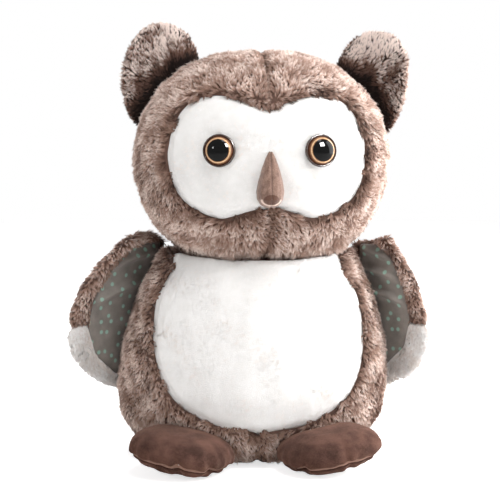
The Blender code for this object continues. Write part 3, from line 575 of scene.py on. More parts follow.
BLADE_ALONG = np.array((0.0, 0.0, 0.5, 0.5, 1.0))
BLADE_CORNERS = np.array((0, 1, 3, 2, 2, 3, 4))
BLADE_ACROSS = np.array((0.1, 0.9, 0.85, 0.15, 0.15, 0.85, 0.5))
BLADE_LENGTHS = (0.7, 1.12)
BLADE_WIDTHS = (0.75, 1.25)
BLADE_TONE_SCATTER = 0.10
ROOT_DEPTH = 0.0006
LOCK_RADIUS_SHARE = 0.62
LEAN_SCATTER = 0.14
ASIDE_SCATTER = 0.12
TIP_SPREAD_SHARE = 0.2
TIP_SCATTER = 0.05
ELBOW_SHARE = 0.48
ELBOW_WIDTH_SHARE = 0.8
CELL_MARGIN = 0.1


def scattered(mesh, spacing, rng):
    """Points spread over a mesh, one to each patch of that size, with smooth normals."""
    mesh.calc_loop_triangles()
    corners = triples(mesh.loop_triangles, "vertices").astype(int)
    points, normals = points_of(mesh), normals_of(mesh)
    a, b, c = (points[corners[:, k]] for k in range(3))
    area = np.cumsum(np.linalg.norm(np.cross(b - a, c - a), axis=1) / 2)
    count = int(area[-1] / spacing**2)
    pick = np.searchsorted(area, (np.arange(count) + rng.random(count)) / count * area[-1])
    pick = np.minimum(pick, len(area) - 1)
    u, v = rng.random((2, count))
    flip = u + v > 1
    u[flip], v[flip] = 1 - u[flip], 1 - v[flip]
    share = np.stack((1 - u - v, u, v), 1)[:, :, None]
    return (points[corners[pick]] * share).sum(1), unit((normals[corners[pick]] * share).sum(1))


def tangent(vectors, normals):
    return unit(vectors - normals * (vectors * normals).sum(1, keepdims=True))


def turned(vectors, normals, angles):
    """Tangent vectors turned about the normals."""
    return vectors * np.cos(angles)[:, None] + np.cross(normals, vectors) * np.sin(angles)[:, None]


def grow_pile(name, coat, roots, ups, flows, lengths, tones, rng):
    """A mesh of blades in locks. Lengths and tones are given per lock."""
    locks = len(roots)
    flows = turned(flows, ups, rng.normal(0, math.radians(coat.wander_deg), locks))
    sides = np.cross(ups, flows)
    leans = math.radians(coat.lean_deg) + rng.normal(0, LEAN_SCATTER, locks)
    heads = ups * np.cos(leans)[:, None] + flows * np.sin(leans)[:, None]
    aside = lengths * rng.normal(0, ASIDE_SCATTER, locks)
    ends = roots + heads * lengths[:, None] + sides * aside[:, None]
    lock = np.repeat(np.arange(locks), coat.blades)
    count = len(lock)
    angle = rng.uniform(0, math.tau, count)
    reach = np.sqrt(rng.random(count)) * coat.spacing * LOCK_RADIUS_SHARE
    spread = sides[lock] * (np.cos(angle) * reach)[:, None]
    spread += flows[lock] * (np.sin(angle) * reach)[:, None]
    feet = roots[lock] + spread - ups[lock] * ROOT_DEPTH
    free = feet + heads[lock] * (lengths[lock] * rng.uniform(*BLADE_LENGTHS, count))[:, None]
    tips = free * (1 - coat.clump) + (ends[lock] + spread * TIP_SPREAD_SHARE) * coat.clump
    tips += rng.normal(0, TIP_SCATTER, (count, 3)) * lengths[lock][:, None]
    elbows = feet * (1 - ELBOW_SHARE) + tips * ELBOW_SHARE
    elbows += ups[lock] * (lengths[lock] * coat.arch)[:, None]
    twist = rng.normal(0, coat.twist, count)[:, None]
    facing = ups[lock] * np.cos(twist) + sides[lock] * np.sin(twist)
    width = coat.width / 2 * rng.uniform(*BLADE_WIDTHS, count)
    across = unit(np.cross(tips - feet, facing)) * width[:, None]
    narrow = across * ELBOW_WIDTH_SHARE
    points = np.stack((feet - across, feet + across, elbows - narrow, elbows + narrow, tips), 1)
    mesh = bpy.data.meshes.new(name)
    mesh.vertices.add(count * 5)
    mesh.vertices.foreach_set("co", points.astype(np.float32).ravel())
    mesh.loops.add(count * 7)
    corners = (np.arange(count)[:, None] * 5 + BLADE_CORNERS).ravel()
    mesh.loops.foreach_set("vertex_index", corners.astype(np.int32))
    mesh.polygons.add(count * 2)
    starts = (np.arange(count)[:, None] * 7 + np.array((0, 4))).ravel()
    mesh.polygons.foreach_set("loop_start", starts.astype(np.int32))
    mesh.update(calc_edges=True)
    mark(mesh, "along", np.tile(BLADE_ALONG, count))
    shade = np.clip(tones[lock] + rng.normal(0, BLADE_TONE_SCATTER, count), -1, 1)
    mark(mesh, "tone", np.repeat(shade, 5))
    lay_map(mesh, count)
    own = unit(np.cross(across, tips - feet))
    soft = unit(ups[lock] * coat.soft + own * (1 - coat.soft))
    mesh.normals_split_custom_set_from_vertices(np.repeat(soft, 5, axis=0))
    return mesh


def lay_map(mesh, count):
    """A map with one cell for each blade."""
    row = math.ceil(math.sqrt(count))
    cell = np.stack(np.divmod(np.arange(count), row), 1)[:, None, :]
    up = CELL_MARGIN + (1 - 2 * CELL_MARGIN) * BLADE_ALONG[BLADE_CORNERS]
    inside = np.stack((BLADE_ACROSS, up), 1)[None]
    places = (cell + inside) / row
    layer = mesh.uv_layers.new(name="OFBake")
    layer.data.foreach_set("uv", places.astype(np.float32).ravel())


# %% [markdown]
# ## Finishes
# The fur's strands are dark at the root and pale at the tip, and whole locks differ a little, as brushed
# pile does. Velour, suede and cotton are short or flat, so there the pattern itself is painted: soft brush
# marks, nap, weave and the print of small dots.

# %% Fur finishes
MOTTLE_PER_M = 55.0
# The color of painted shade, which fur takes where its tone is below 0, as in a pit that no light reaches.
PAINTED_PIT_SHADE = rgb(34, 20, 15)
FUR_GLOSS = 0.04
CLOTH_GLOSS = 0.05


def fur(name, root, middle, tip, dark_share=0.5, pale_share=0.5):
    """Fur from its root color to its tip color. The tone makes a lock pale or dark, and below 0 it turns to
    painted shade.
    """

    def paint(start):
        along, tone = start.attribute("along"), start.attribute("tone")
        cloud = start.at_rest().noise(MOTTLE_PER_M)
        color = along.between(0.0, 0.55).blend(rgb(*root), rgb(*middle))
        color = (along + (tone - 0.5) * pale_share).between(0.45, 1.0).blend(color, rgb(*tip))
        shade = (tone * 0.7 + cloud * 0.6).between(0.25, 0.95)
        dark = color.tinted((dark_share, dark_share * 0.94, dark_share * 0.9, 1.0))
        return {"Base Color": tone.between(-0.7, 0.05).blend(PAINTED_PIT_SHADE, shade.blend(dark, color))}

    constants = {"Roughness": 0.85, "Sheen Weight": 0.12, "Specular IOR Level": FUR_GLOSS}
    return finish(name, constants, paint)


def cloth_values(roughness, sheen):
    """What a cloth has on the shader's own sockets."""
    return {"Roughness": roughness, "Sheen Weight": sheen, "Specular IOR Level": CLOTH_GLOSS}


def backing(name, color, dark):
    """The knitted backing that shows between strands."""

    def paint(start):
        place = start.at_rest()
        cloud = place.noise(180.0)
        knit = place.noise(2600.0, 1.0)
        return {
            "Base Color": (cloud * 0.6 + knit * 0.4).between(0.3, 0.7).blend(rgb(*dark), rgb(*color)),
            "Normal": knit.bump(0.0004, 0.6),
        }

    return finish(name, cloth_values(0.95, 0.3), paint)


BROWN_FUR = fur("brown_fur", (132, 96, 80), (202, 166, 149), (248, 231, 221), 0.56)
EAR_FUR = fur("ear_fur", (92, 62, 50), (158, 121, 106), (244, 228, 219), 0.42, 1.0)
WHITE_FUR = fur("white_fur", (234, 232, 230), (238, 236, 234), (242, 241, 240), 0.99)
BROWN_BACKING = backing("brown_backing", (104, 78, 67), (74, 53, 45))
EAR_BACKING = backing("ear_backing", (60, 42, 35), (38, 25, 20))
WHITE_BACKING = backing("white_backing", (236, 234, 232), (228, 226, 223))
FIBRE = backing("filling_fibre", (238, 238, 236), (216, 216, 213))

# %% [markdown]
# ## The body
# A pear of brown fur with a white belly. The fur lies downwards and swirls a little. A lock takes its panel
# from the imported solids, so the belly's edge is where the pattern piece ends.

# %% Where each lock of a sewn part grows
BROWN_COAT = Coat(
    spacing=0.0017, blades=10, length=0.0050, lean_deg=52, width=0.00041, clump=0.36,
    wander_deg=26, arch=0.13,
)
WHITE_COAT = Coat(
    spacing=0.0018, blades=12, length=0.0019, lean_deg=72, width=0.00075, clump=0.06,
    wander_deg=24, arch=0.03, twist=0.08, soft=1.0,
)
DOWN = np.array((0.0, 0.0, -1.0))
SEAM_REACH = 0.004
SEAM_SHORTENING = 0.4
SEAM_PAINTED_SHADE = 0.42
EDGE_WANDER = 0.0014
EDGE_OVERHANG = 0.7
EDGE_LENGTHENING = 0.9
BROAD_SWIRL = 0.75
FINE_SWIRL = 0.45
PALE_SWIRL_SHARE = 0.35
LENGTH_HILLS = 0.22
TONE_HILLS = 0.26
LOCK_TONE_SCATTER = 0.13


def toward(points, node):
    """The way from each point to the nearest place on a node."""
    tree = surface_of(node)
    return unit(np.array([tree.find_nearest(point)[0] for point in points]) - points)


def furred(part, coats, seed, flow_of, length_of=None, tone_of=None, skip=None, pale=None):
    """Grows the pile of every panel that has a coat. Brown locks hang over the edge of the pale panel."""
    for index, (panel, (coat, material, slot)) in enumerate(coats.items()):
        rng = np.random.default_rng(seed + index)
        roots, ups = scattered(part.mesh, coat.spacing, rng)
        gaps = distances(roots, part.panels)
        owners = gaps.copy()
        if pale is not None:
            owners[:, part.panels.index(pale)] += EDGE_WANDER * ripple(roots, 0.007, seed + 54)
        keep = owners.argmin(1) == part.panels.index(panel)
        if skip is not None:
            keep &= ~skip(roots)
        roots, ups, gaps = roots[keep], ups[keep], gaps[keep]
        flows = tangent(flow_of(panel, roots, ups), ups)
        swirl = BROAD_SWIRL * ripple(roots, 0.03, seed + 50)
        swirl += FINE_SWIRL * ripple(roots, 0.011, seed + 51)
        flows = turned(flows, ups, swirl * (PALE_SWIRL_SHARE if panel == pale else 1.0))
        seam = np.sort(gaps, axis=1)
        near = bell(seam[:, 1] - seam[:, 0], SEAM_REACH)
        lengths = coat.length * (1 + LENGTH_HILLS * ripple(roots, 0.02, seed + 52))
        lengths *= 1 - SEAM_SHORTENING * near
        if pale is not None and panel != pale:
            edge = bell(gaps[:, part.panels.index(pale)], SEAM_REACH)
            flows = tangent(flows + toward(roots, pale) * (EDGE_OVERHANG * edge)[:, None], ups)
            lengths *= 1 + EDGE_LENGTHENING * edge
        lengths *= rng.uniform(0.85, 1.15, len(roots))
        if length_of is not None:
            lengths *= length_of(panel, roots)
        tones = 0.5 + TONE_HILLS * ripple(roots, 0.009, seed + 53)
        tones = np.clip(tones + rng.normal(0, LOCK_TONE_SCATTER, len(roots)), 0, 1)
        # Locks near a seam, except on the pale panel, are darkened: painted shade in the seam's gap.
        tones -= SEAM_PAINTED_SHADE * near * (panel != pale)
        if tone_of is not None:
            tones = np.clip(tones + tone_of(panel, roots, gaps), -1, 1)
        mesh = grow_pile(f"{panel}_fur", coat, roots, ups, flows, lengths, tones, rng)
        obj = new_object(f"{panel}_fur", mesh)
        add_piece(obj, part.body, material)
        print(obj.name, len(roots), "locks,", len(mesh.polygons), "faces")


# %% Panels, backings and coats of the two covers
COVER_PRESSURE = 4.0
COVER_SWELL_CAP = 0.0025
COVER_THICKNESS = 0.0022
COVER_FILL_INSET = 0.0027


def brown_panels(cover):
    return tuple(f"{cover}_{face}_{side}_panel" for face in ("front", "back") for side in SIDES)


def make_cover(name, panels, pale, fullness, extra):
    """A stuffed brown cover with one white panel, and the coats that it still needs."""
    cover = SewnPart(name, name, panels, f"{name}_stuffing", COVER_SKIN, extra)
    cover.swell(COVER_PRESSURE, COVER_SWELL_CAP)
    cover.fill(COVER_FILL_INSET, FIBRE, "polyester_stuffing", fullness)
    cloths = {panel: (BROWN_BACKING, "brown_fur") for panel in panels}
    cloths[pale] = (WHITE_BACKING, "white_plush")
    cover.cut(COVER_THICKNESS, cloths)
    coats = {panel: (BROWN_COAT, BROWN_FUR, "brown_fur") for panel in brown_panels(name)}
    coats[pale] = (WHITE_COAT, WHITE_FUR, "white_plush")
    return cover, coats


BODY_PANELS = [*brown_panels("body"), "belly_panel", "base_panel"]
HEAD_PANELS = [*brown_panels("head"), "face_panel"]
FOOT_NODES = [f"foot_{side}_{layer}" for side in SIDES for layer in ("upper", "sole")]
print(len(BODY_PANELS), "body panels and", len(HEAD_PANELS), "head panels")

# %% Body
PILE_SPACE = 0.0020
BASE_PILE_HEIGHT = 0.005
NECK_REACH = 0.010
SHOULDERS = np.array(((-0.078, 0.0, 0.166), (0.078, 0.0, 0.166)))
SHOULDER_REACH = 0.020
LOCKS_LONGER = 0.8


def near_shoulder(roots):
    """1 at a wing's joint and 0 far from both."""
    return bell(np.linalg.norm(roots[:, None] - SHOULDERS, axis=2).min(1), SHOULDER_REACH)


def body_flow(panel, roots, ups):
    """Down, but up where the pile meets the head, so that no gap shows at the neck."""
    neck = bell(distances(roots, HEAD_PANELS).min(1), NECK_REACH)
    neck = (neck * (panel != "belly_panel"))[:, None]
    return DOWN * (1 - 1.6 * neck) + (0.25 + 0.5 * neck) * ups


def body_length(panel, roots):
    """The brown locks at the shoulders are longer."""
    return 1.0 + LOCKS_LONGER * near_shoulder(roots) * (panel != "belly_panel")


def body_hidden(roots):
    """Where the body's pile would stand in the head, in a foot or under the base."""
    near_others = clear_of([*HEAD_PANELS, *FOOT_NODES], PILE_SPACE)(roots)
    return near_others | (roots[:, 2] < BASE_PILE_HEIGHT)


body, coats = make_cover("body", BODY_PANELS, "belly_panel", 0.8, ("pellet_bag",))
furred(body, coats, 100, body_flow, body_length, skip=body_hidden, pale="belly_panel")

# %% [markdown]
# ## The head
# The head turns on the body, so it is a part of its own. The face is white and short-haired. The fur runs
# out and back from the face, and none grows under the eyes and the beak.

# %% Head
def middle_of(node):
    low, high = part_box(node)
    return np.array((low + high) / 2)


EYE_MIDDLES = {side: middle_of(f"eye_{side}_iris") for side in SIDES}
HEAD_MIDDLE = middle_of("head_stuffing")
EYE_CLEAR = 0.0112
CHIN_TOP = 0.178
CHIN_DEPTH = 0.012
FACE_SHADE = 0.25
FACE_SHADE_REACH = 0.0045
beak_low, beak_high = (np.array(corner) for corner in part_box("beak_stuffing"))


def under_features(roots):
    """Where no fur grows: under the eyes, the beak and the neck."""
    hidden = np.zeros(len(roots), bool)
    for place in EYE_MIDDLES.values():
        hidden |= np.linalg.norm((roots - place)[:, (0, 2)], axis=1) < EYE_CLEAR
    hidden &= roots[:, 1] < 0
    inside = ((roots > beak_low) & (roots < beak_high))[:, (0, 2)].all(1) & (roots[:, 1] < 0)
    up = (roots[:, 2] - beak_low[2]) / (beak_high[2] - beak_low[2])
    narrow = np.abs(roots[:, 0] - (beak_low[0] + beak_high[0]) / 2) < 0.006 * (1.25 - up)
    return hidden | (inside & narrow)


def head_flow(panel, roots, ups):
    out = roots - HEAD_MIDDLE
    if panel == "face_panel":
        return out * (1, 0, 1) + DOWN * 0.02
    low = np.clip((CHIN_TOP - roots[:, 2]) / CHIN_DEPTH, 0, 1)[:, None]
    hanging = np.sign(roots[:, 1:2]) * (0, 0.03, 0) + DOWN * 0.08
    return out * (1, 0, 1) * 0.6 + np.array((0, 0.06, -0.05)) * (1 - low) + hanging * low


def head_hidden(roots):
    """Where the head's pile would stand in the body, or under an eye or the beak."""
    return under_features(roots) | clear_of(BODY_PANELS, PILE_SPACE)(roots)


def head_tone(panel, roots, gaps):
    """Brown locks near the face's edge are darkened: painted shade of the tufts that hang over it."""
    near = bell(gaps[:, HEAD_PANELS.index("face_panel")], FACE_SHADE_REACH)
    return -FACE_SHADE * near * (panel != "face_panel")


def head_length(panel, roots):
    """The lowest locks are longer and hang over the top of the body."""
    low = np.clip((CHIN_TOP - roots[:, 2]) / CHIN_DEPTH, 0, 1)
    return 1.0 + LOCKS_LONGER * low * (panel != "face_panel")


washers = tuple(f"eye_{side}_washer" for side in SIDES)
head, coats = make_cover("head", HEAD_PANELS, "face_panel", 0.85, washers)
furred(head, coats, 200, head_flow, head_length, head_tone, head_hidden, "face_panel")

# %% [markdown]
# ## The ears
# Two layers of pile cloth are sewn together along the rim. The fur of the front layer fans out from the
# fold against the head to the rim, dark with painted shade at the fold and pale with painted light at the
# rim.

# %% Ears
EAR_COAT = replace(
    BROWN_COAT, blades=11, length=0.0064, lean_deg=56, width=0.00040, clump=0.34, wander_deg=14, arch=0.12
)
EAR_BACK_COAT = replace(BROWN_COAT, length=0.0052, lean_deg=50, wander_deg=20, arch=0.14)
EAR_LAYER_VOXEL = 0.0011
EAR_FOLD_REACH = 0.034
# Painted light and shade per ear: where the pale, lit rim starts as a share of the way out, how pale it
# gets, and the tone inside it.
EAR_RIM_LIGHT_AND_SHADE = {"left": (0.46, 0.35, 0.46), "right": (0.34, 0.65, 0.36)}
EAR_RIM_WIDTH = 0.30
EAR_SHADE = 2.2
EAR_SHADE_REACH = 0.0115


def make_ear(side, seed):
    front, back = f"ear_{side}_front", f"ear_{side}_back"
    ear = SewnPart(f"ear_{side}", f"ear_{side}", [front, back], None, EAR_SKIN)
    for panel, made, slot in (
        (front, EAR_BACKING, "dark_brown_fur"), (back, BROWN_BACKING, "brown_fur"),
    ):
        obj = new_object(f"{panel}_cloth", skin_round([panel], EAR_LAYER_VOXEL, 5, 0.0))
        add_piece(obj, ear.body, made)
        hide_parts(panel)
    middle = points_of(ear.mesh).mean(0)
    out = unit((middle - HEAD_MIDDLE) * (1, 0, 1))
    fold = middle - out * EAR_FOLD_REACH

    def flow(panel, roots, ups):
        return (roots - fold) * (1, 0.4, 1)

    def tone(panel, roots, gaps):
        if panel == back:
            return 0.10
        # Painted light makes the rim pale and painted shade darkens the fur near the head, by other amounts
        # on each ear.
        start, rim_light, base = EAR_RIM_LIGHT_AND_SHADE[side]
        share = np.linalg.norm((roots - middle) * (1, 0, 1), axis=1)
        rim = np.clip((share / share.max() - start) / EAR_RIM_WIDTH, 0, 1)
        deep = bell(distances(roots, HEAD_PANELS).min(1), EAR_SHADE_REACH)
        return base + rim_light * rim - EAR_SHADE * deep - 0.1

    coats = {front: (EAR_COAT, EAR_FUR, "dark_brown_fur"), back: (EAR_BACK_COAT, BROWN_FUR, "brown_fur")}
    furred(ear, coats, seed, flow, tone_of=tone, skip=clear_of(HEAD_PANELS, PILE_SPACE))


for side, seed in zip(SIDES, (300, 320)):
    make_ear(side, seed)

# %% [markdown]
# ## The wings
# A wing is a padded flap: fur outside that turns over the edge as a band, a white plush tip, and a thin
# cotton lining inside with a scattered print of small dots. The lining is larger than the space it covers,
# so it lies in folds.

# %% Print of small dots and short white plush
DOT_SPACING = 0.0100
DOT_RADIUS_SHARE = 0.13
DOT_EDGE_SHARE = 0.06
WING_TURN = (0.79, 0.61)


def dotted_cotton(start):
    place = start.at_rest()
    outward = place.axis("X").size()
    across = outward * (WING_TURN[0] / DOT_SPACING) - place.axis("Y") * (WING_TURN[1] / DOT_SPACING)
    upward = place.axis("Z") * (1 / DOT_SPACING)
    flat = place.add("ShaderNodeCombineXYZ", None, {"X": across, "Y": upward})
    sockets = {"Vector": flat, "Scale": 1.0, "Randomness": 0.75}
    dots = place.add("ShaderNodeTexVoronoi", {"voronoi_dimensions": "2D"}, sockets)
    dot = 1 - dots.between(DOT_RADIUS_SHARE, DOT_RADIUS_SHARE + DOT_EDGE_SHARE)
    threads = place.noise(3200.0, 1.0)
    cloth = (place.noise(90.0) * 0.5 + threads * 0.5).between(0.3, 0.7)
    ground = cloth.blend(rgb(116, 110, 105), rgb(146, 139, 132))
    color = (dot * 0.75).blend(ground, rgb(150, 192, 174))
    return {"Base Color": color, "Normal": threads.bump(0.0002, 0.5)}


def white_plush(start):
    place = start.at_rest()
    nap = place.noise(900.0, 3.0)
    soft = place.noise(70.0)
    color = (nap * 0.6 + soft * 0.4).between(0.3, 0.7).blend(rgb(238, 234, 230), rgb(252, 251, 250))
    return {"Base Color": color, "Normal": nap.bump(0.0007, 0.7)}


DOTTED_COTTON = finish("dotted_cotton", cloth_values(0.9, 0.15), dotted_cotton)
WHITE_PLUSH = finish("white_plush", cloth_values(0.95, 0.4), white_plush)

# %% Wings
WING_COAT = replace(BROWN_COAT, length=0.0044, lean_deg=58, width=0.00042, clump=0.38, arch=0.14)
TIP_COAT = Coat(
    spacing=0.0018, blades=11, length=0.0040, lean_deg=56, width=0.00046, clump=0.30,
    wander_deg=26, arch=0.10, twist=0.4, soft=0.6,
)
TIP_FUR = fur("tip_fur", (222, 217, 213), (241, 239, 237), (252, 251, 250), 0.95)
FOLD_HEIGHTS = {"left": (0.152, 0.130), "right": (0.158, 0.143, 0.126)}
FOLD_DEPTH = 0.0050
FOLD_HALF_WIDTH = 0.0034
FOLD_SLOPE = 0.35
WING_FILL_INSET = 0.0016
WING_PILE_SPACE = 0.0012


def make_wing(side, seed):
    outer, tip, lining = (f"wing_{side}_{piece}" for piece in ("outer", "tip", "lining"))
    panels = [outer, tip, lining]
    wing = SewnPart(f"wing_{side}", f"wing_{side}", panels, f"wing_{side}_padding", WING_SKIN)
    wing.swell(3.0, 0.0015)
    sign = -1 if side == "left" else 1
    hanging = np.array((0.45 * sign, 0.0, -1.0))
    rising = np.array((-1.0 * sign, 0.0, 0.2))

    def folds(points):
        on_lining = distances(points, panels).argmin(1) == panels.index(lining)
        inside = on_lining * np.clip(wing.away / 0.008, 0, 1)
        run = points[:, 2] + FOLD_SLOPE * sign * (points[:, 0] - sign * 0.1)
        run += 0.002 * ripple(points, 0.05, seed)
        ridge = sum(bell(run - height, FOLD_HALF_WIDTH) for height in FOLD_HEIGHTS[side])
        return inside * (FOLD_DEPTH * (ridge - 0.35) + 0.0008 * ripple(points, 0.018, seed + 1))

    wing.shape(folds)
    wing.fill(WING_FILL_INSET, FIBRE, "polyester_stuffing", 0.6, thin=True)
    wing.cut(0.0011, {
        outer: (BROWN_BACKING, "brown_fur"), tip: (WHITE_PLUSH, "white_plush"),
        lining: (DOTTED_COTTON, "grey_lining_cotton"),
    })

    def flow(panel, roots, ups):
        joint = near_shoulder(roots)[:, None]
        return hanging * (1 - joint) + rising * joint

    def length(panel, roots):
        return 1.0 + 0.6 * near_shoulder(roots)

    coats = {outer: (WING_COAT, BROWN_FUR, "brown_fur"), tip: (TIP_COAT, TIP_FUR, "white_plush")}
    furred(wing, coats, seed, flow, length, skip=clear_of(BODY_PANELS, WING_PILE_SPACE))


for side, seed in zip(SIDES, (400, 420)):
    make_wing(side, seed)

# %% [markdown]
# ## The feet
# Velour is a cloth with a very short pile: it brightens where it is seen edge on and shows every brush
# mark. A foot is an upper and a sole, and the seam between them is pulled tight enough to pucker.

# %% Velour
SEAM_BAND_WIDTH = 0.0018


def velour(name, edge_color, sheen):
    """Brushed velour whose edge along the seam takes another color."""

    def paint(start):
        place, seam = start.at_rest(), start.attribute("seam")
        brushed = place.noise(70.0, 4.0)
        nap = place.noise(1500.0, 2.0)
        marks = (brushed * 0.6 + nap * 0.4).between(0.34, 0.66)
        color = marks.blend(rgb(48, 29, 23), rgb(96, 67, 57))
        # A band along the seam in its own color: lighter on the upper, and painted shade on the sole.
        edge = 1 - seam.between(SEAM_BAND_WIDTH * 0.4, SEAM_BAND_WIDTH)
        return {"Base Color": (edge * 0.75).blend(color, edge_color), "Normal": nap.bump(0.0006, 0.7)}

    sheen_look = {"Sheen Roughness": 0.45, "Sheen Tint": rgb(220, 178, 160)}
    return finish(name, cloth_values(0.9, sheen) | sheen_look, paint)


VELOUR = velour("velour", rgb(150, 118, 103), 0.28)
# The sole's dark band along the seam is painted shade in the fold under it.
SOLE_VELOUR = velour("sole_velour", rgb(44, 26, 20), 0.25)

# %% Feet
PUCKER_HEIGHT = 0.0010
PUCKER_REACH = 0.009
TOE_CREASES = {"left": (-0.038, -0.0625), "right": (0.0645, 0.030)}
CREASE_DEPTH = 0.0026
CREASE_HALF_WIDTH = 0.0030
CREASE_REACH = 0.013
FOOT_FRONT = -0.085
FOOT_FILL_INSET = 0.0022


def make_foot(side, seed):
    upper, sole = f"foot_{side}_upper", f"foot_{side}_sole"
    foot = SewnPart(f"foot_{side}", f"foot_{side}", [upper, sole], f"foot_{side}_stuffing", FOOT_SKIN)
    foot.swell(3.0, 0.0012)

    def puckers(points):
        near = bell(foot.away, PUCKER_REACH) * (points[:, 1] < -0.06)
        front = np.clip((FOOT_FRONT - points[:, 1]) / 0.010, 0, 1) * bell(foot.away, CREASE_REACH)
        aside = [points[:, 0] + 0.25 * (points[:, 2] - 0.01) - place for place in TOE_CREASES[side]]
        crease = sum(bell(gap, CREASE_HALF_WIDTH) for gap in aside)
        pucker = near * PUCKER_HEIGHT * ripple(points * (1, 1, 0.4), 0.007, seed)
        return pucker - CREASE_DEPTH * front * crease

    foot.shape(puckers)
    foot.fill(FOOT_FILL_INSET, FIBRE, "polyester_stuffing", 0.7, thin=True)
    foot.cut(0.0016, {upper: (VELOUR, "foot_velour"), sole: (SOLE_VELOUR, "foot_velour")})


for side, seed in zip(SIDES, (500, 520)):
    make_foot(side, seed)

# %% [markdown]
# ## The beak
# Two pieces of suede with a seam down the middle and a small folded end.

# %% Beak
BEAK_PANELS = [f"beak_{side}_panel" for side in SIDES]
BEAK_END_ABOVE_LOWEST = 0.0052
BEAK_END_HALF_WIDTH = 0.0062
BEAK_END_HALF_HEIGHT = 0.0040
beak_middle = (beak_low + beak_high) / 2


def suede(start):
    place, seam = start.at_rest(), start.attribute("seam")
    nap = place.noise(1400.0, 3.0)
    cloud = place.noise(220.0)
    color = (nap * 0.5 + cloud * 0.5).between(0.32, 0.68).blend(rgb(106, 80, 68), rgb(151, 122, 108))
    # The suede is darker along the seam: painted shade in its crease.
    color = ((1 - seam.between(0.0002, 0.0011)) * 0.45).blend(color, rgb(86, 60, 50))
    across = place.axis("X") - float(beak_middle[0])
    height = place.axis("Z") - float(beak_low[2] + BEAK_END_ABOVE_LOWEST)
    across, height = across * (1 / BEAK_END_HALF_WIDTH), height * (1 / BEAK_END_HALF_HEIGHT)
    squares = across * across + height * height
    ring = squares.calc("POWER", squares, 0.5)
    end = 1 - ring.between(0.86, 1.0)
    edge = (1 - (ring - 1.14).size().between(0.06, 0.16)) * (0.2 - height).between(0, 0.4)
    color = (end * 0.9).blend(color, rgb(92, 62, 50))
    color = (edge * 0.85).blend(color, rgb(228, 205, 190))
    return {"Base Color": color, "Normal": nap.bump(0.0004, 0.7)}


SUEDE = finish("suede", cloth_values(0.85, 0.35), suede)
beak = SewnPart("beak", "head", BEAK_PANELS, "beak_stuffing", BEAK_SKIN)
beak.fill(0.0003, FIBRE, "polyester_stuffing", 0.9, thin=True)
beak.cut(0.0011, {panel: (SUEDE, "beak_suede") for panel in beak.panels})

# %% [markdown]
# ## The eyes
# A safety eye is a plastic cup with a copper ring and a clear dome over a black pupil. The washer behind
# the cloth locks its stem. All of it is turned round one axis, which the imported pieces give.

# %% Turned eyes
EYE_RADIUS = 0.0123
EYE_STEM_LENGTH = 0.015
EYE_STEPS = 72


def eye_axis(side):
    """The point on the face under an eye, and the way the eye looks."""
    cup, dome = (
        np.unique(points_of(frame["nodes"][f"eye_{side}_{piece}"].data).round(6), axis=0)
        for piece in ("back", "dome")
    )
    middle = cup.mean(0)
    facing = unit(dome.mean(0) - middle)
    lowest = (cup @ facing).min() + EYE_STEM_LENGTH
    return middle + facing * (lowest - middle @ facing), facing


def turned_mesh(name, profile, place, facing):
    """A closed mesh from a profile of radius and height that starts and ends on the axis."""
    first = unit(np.cross(facing, (0.0, 0.0, 1.0)))
    second = np.cross(facing, first)
    profile = np.array(profile)
    angles = np.arange(EYE_STEPS) / EYE_STEPS * math.tau
    ring = first * np.cos(angles)[:, None] + second * np.sin(angles)[:, None]
    rows = [place + facing * height + ring * radius for radius, height in profile[1:-1]]
    points = [place + facing * profile[0][1], *np.concatenate(rows), place + facing * profile[-1][1]]
    faces, last = [], len(points) - 1
    for step in range(EYE_STEPS):
        after = (step + 1) % EYE_STEPS
        faces.append((0, 1 + step, 1 + after))
        for row in range(len(rows) - 1):
            low, high = 1 + row * EYE_STEPS, 1 + (row + 1) * EYE_STEPS
            faces.append((low + step, high + step, high + after, low + after))
        faces.append((last - EYE_STEPS + after, last - EYE_STEPS + step, last))
    mesh = bpy.data.meshes.new(name)
    mesh.from_pydata([tuple(point) for point in points], [], faces)
    mark(mesh, "reach", [0.0, *np.repeat(profile[1:-1, 0], EYE_STEPS) / EYE_RADIUS, 0.0])
    bm = bmesh.new()
    bm.from_mesh(mesh)
    bmesh.ops.recalc_face_normals(bm, faces=bm.faces)
    bm.to_mesh(mesh)
    bm.free()
    return mesh


def curve(middle, size, start_deg, end_deg, steps):
    """Points of an ellipse's arc in a profile."""
    angles = np.radians(np.linspace(start_deg, end_deg, steps))
    return [(middle[0] + size[0] * math.cos(a), middle[1] + size[1] * math.sin(a)) for a in angles]


def grained(scale, dark, pale, detail=2.0):
    """Paints a plastic or a foil whose color varies a little."""

    def paint(start):
        grain = start.at_rest().noise(scale, detail)
        return {"Base Color": grain.between(0.3, 0.7).blend(rgb(*dark), rgb(*pale))}

    return paint


def dome_plastic(start):
    reach = start.attribute("reach")
    foil = start.at_rest().noise(500.0, 3.0)
    copper = foil.between(0.3, 0.7).blend(rgb(140, 94, 64), rgb(190, 140, 100))
    ring = reach.between(0.74, 0.84).blend(copper, rgb(84, 52, 37))
    light = (1 - (reach - 0.735).size().between(0.012, 0.034)) * 0.75
    ring = light.blend(ring, rgb(236, 206, 164))
    return {"Base Color": reach.between(0.665, 0.685).blend(PUPIL_COLOR, ring)}


PUPIL_COLOR = (0.002, 0.002, 0.002, 1.0)
CUP_PLASTIC = finish("cup_plastic", {"Roughness": 0.22}, grained(700.0, (46, 28, 20), (66, 42, 31)))
DOME_PLASTIC = finish("dome_plastic", {"Roughness": 0.04, "Specular IOR Level": 0.12}, dome_plastic)
CUP_TOP = 0.0012
CUP_BOTTOM = 0.0003
STEM_RADIUS = 0.0025
DOME_RADIUS = 0.0108
DOME_EDGE = 0.0016
DOME_RISE = 0.0066


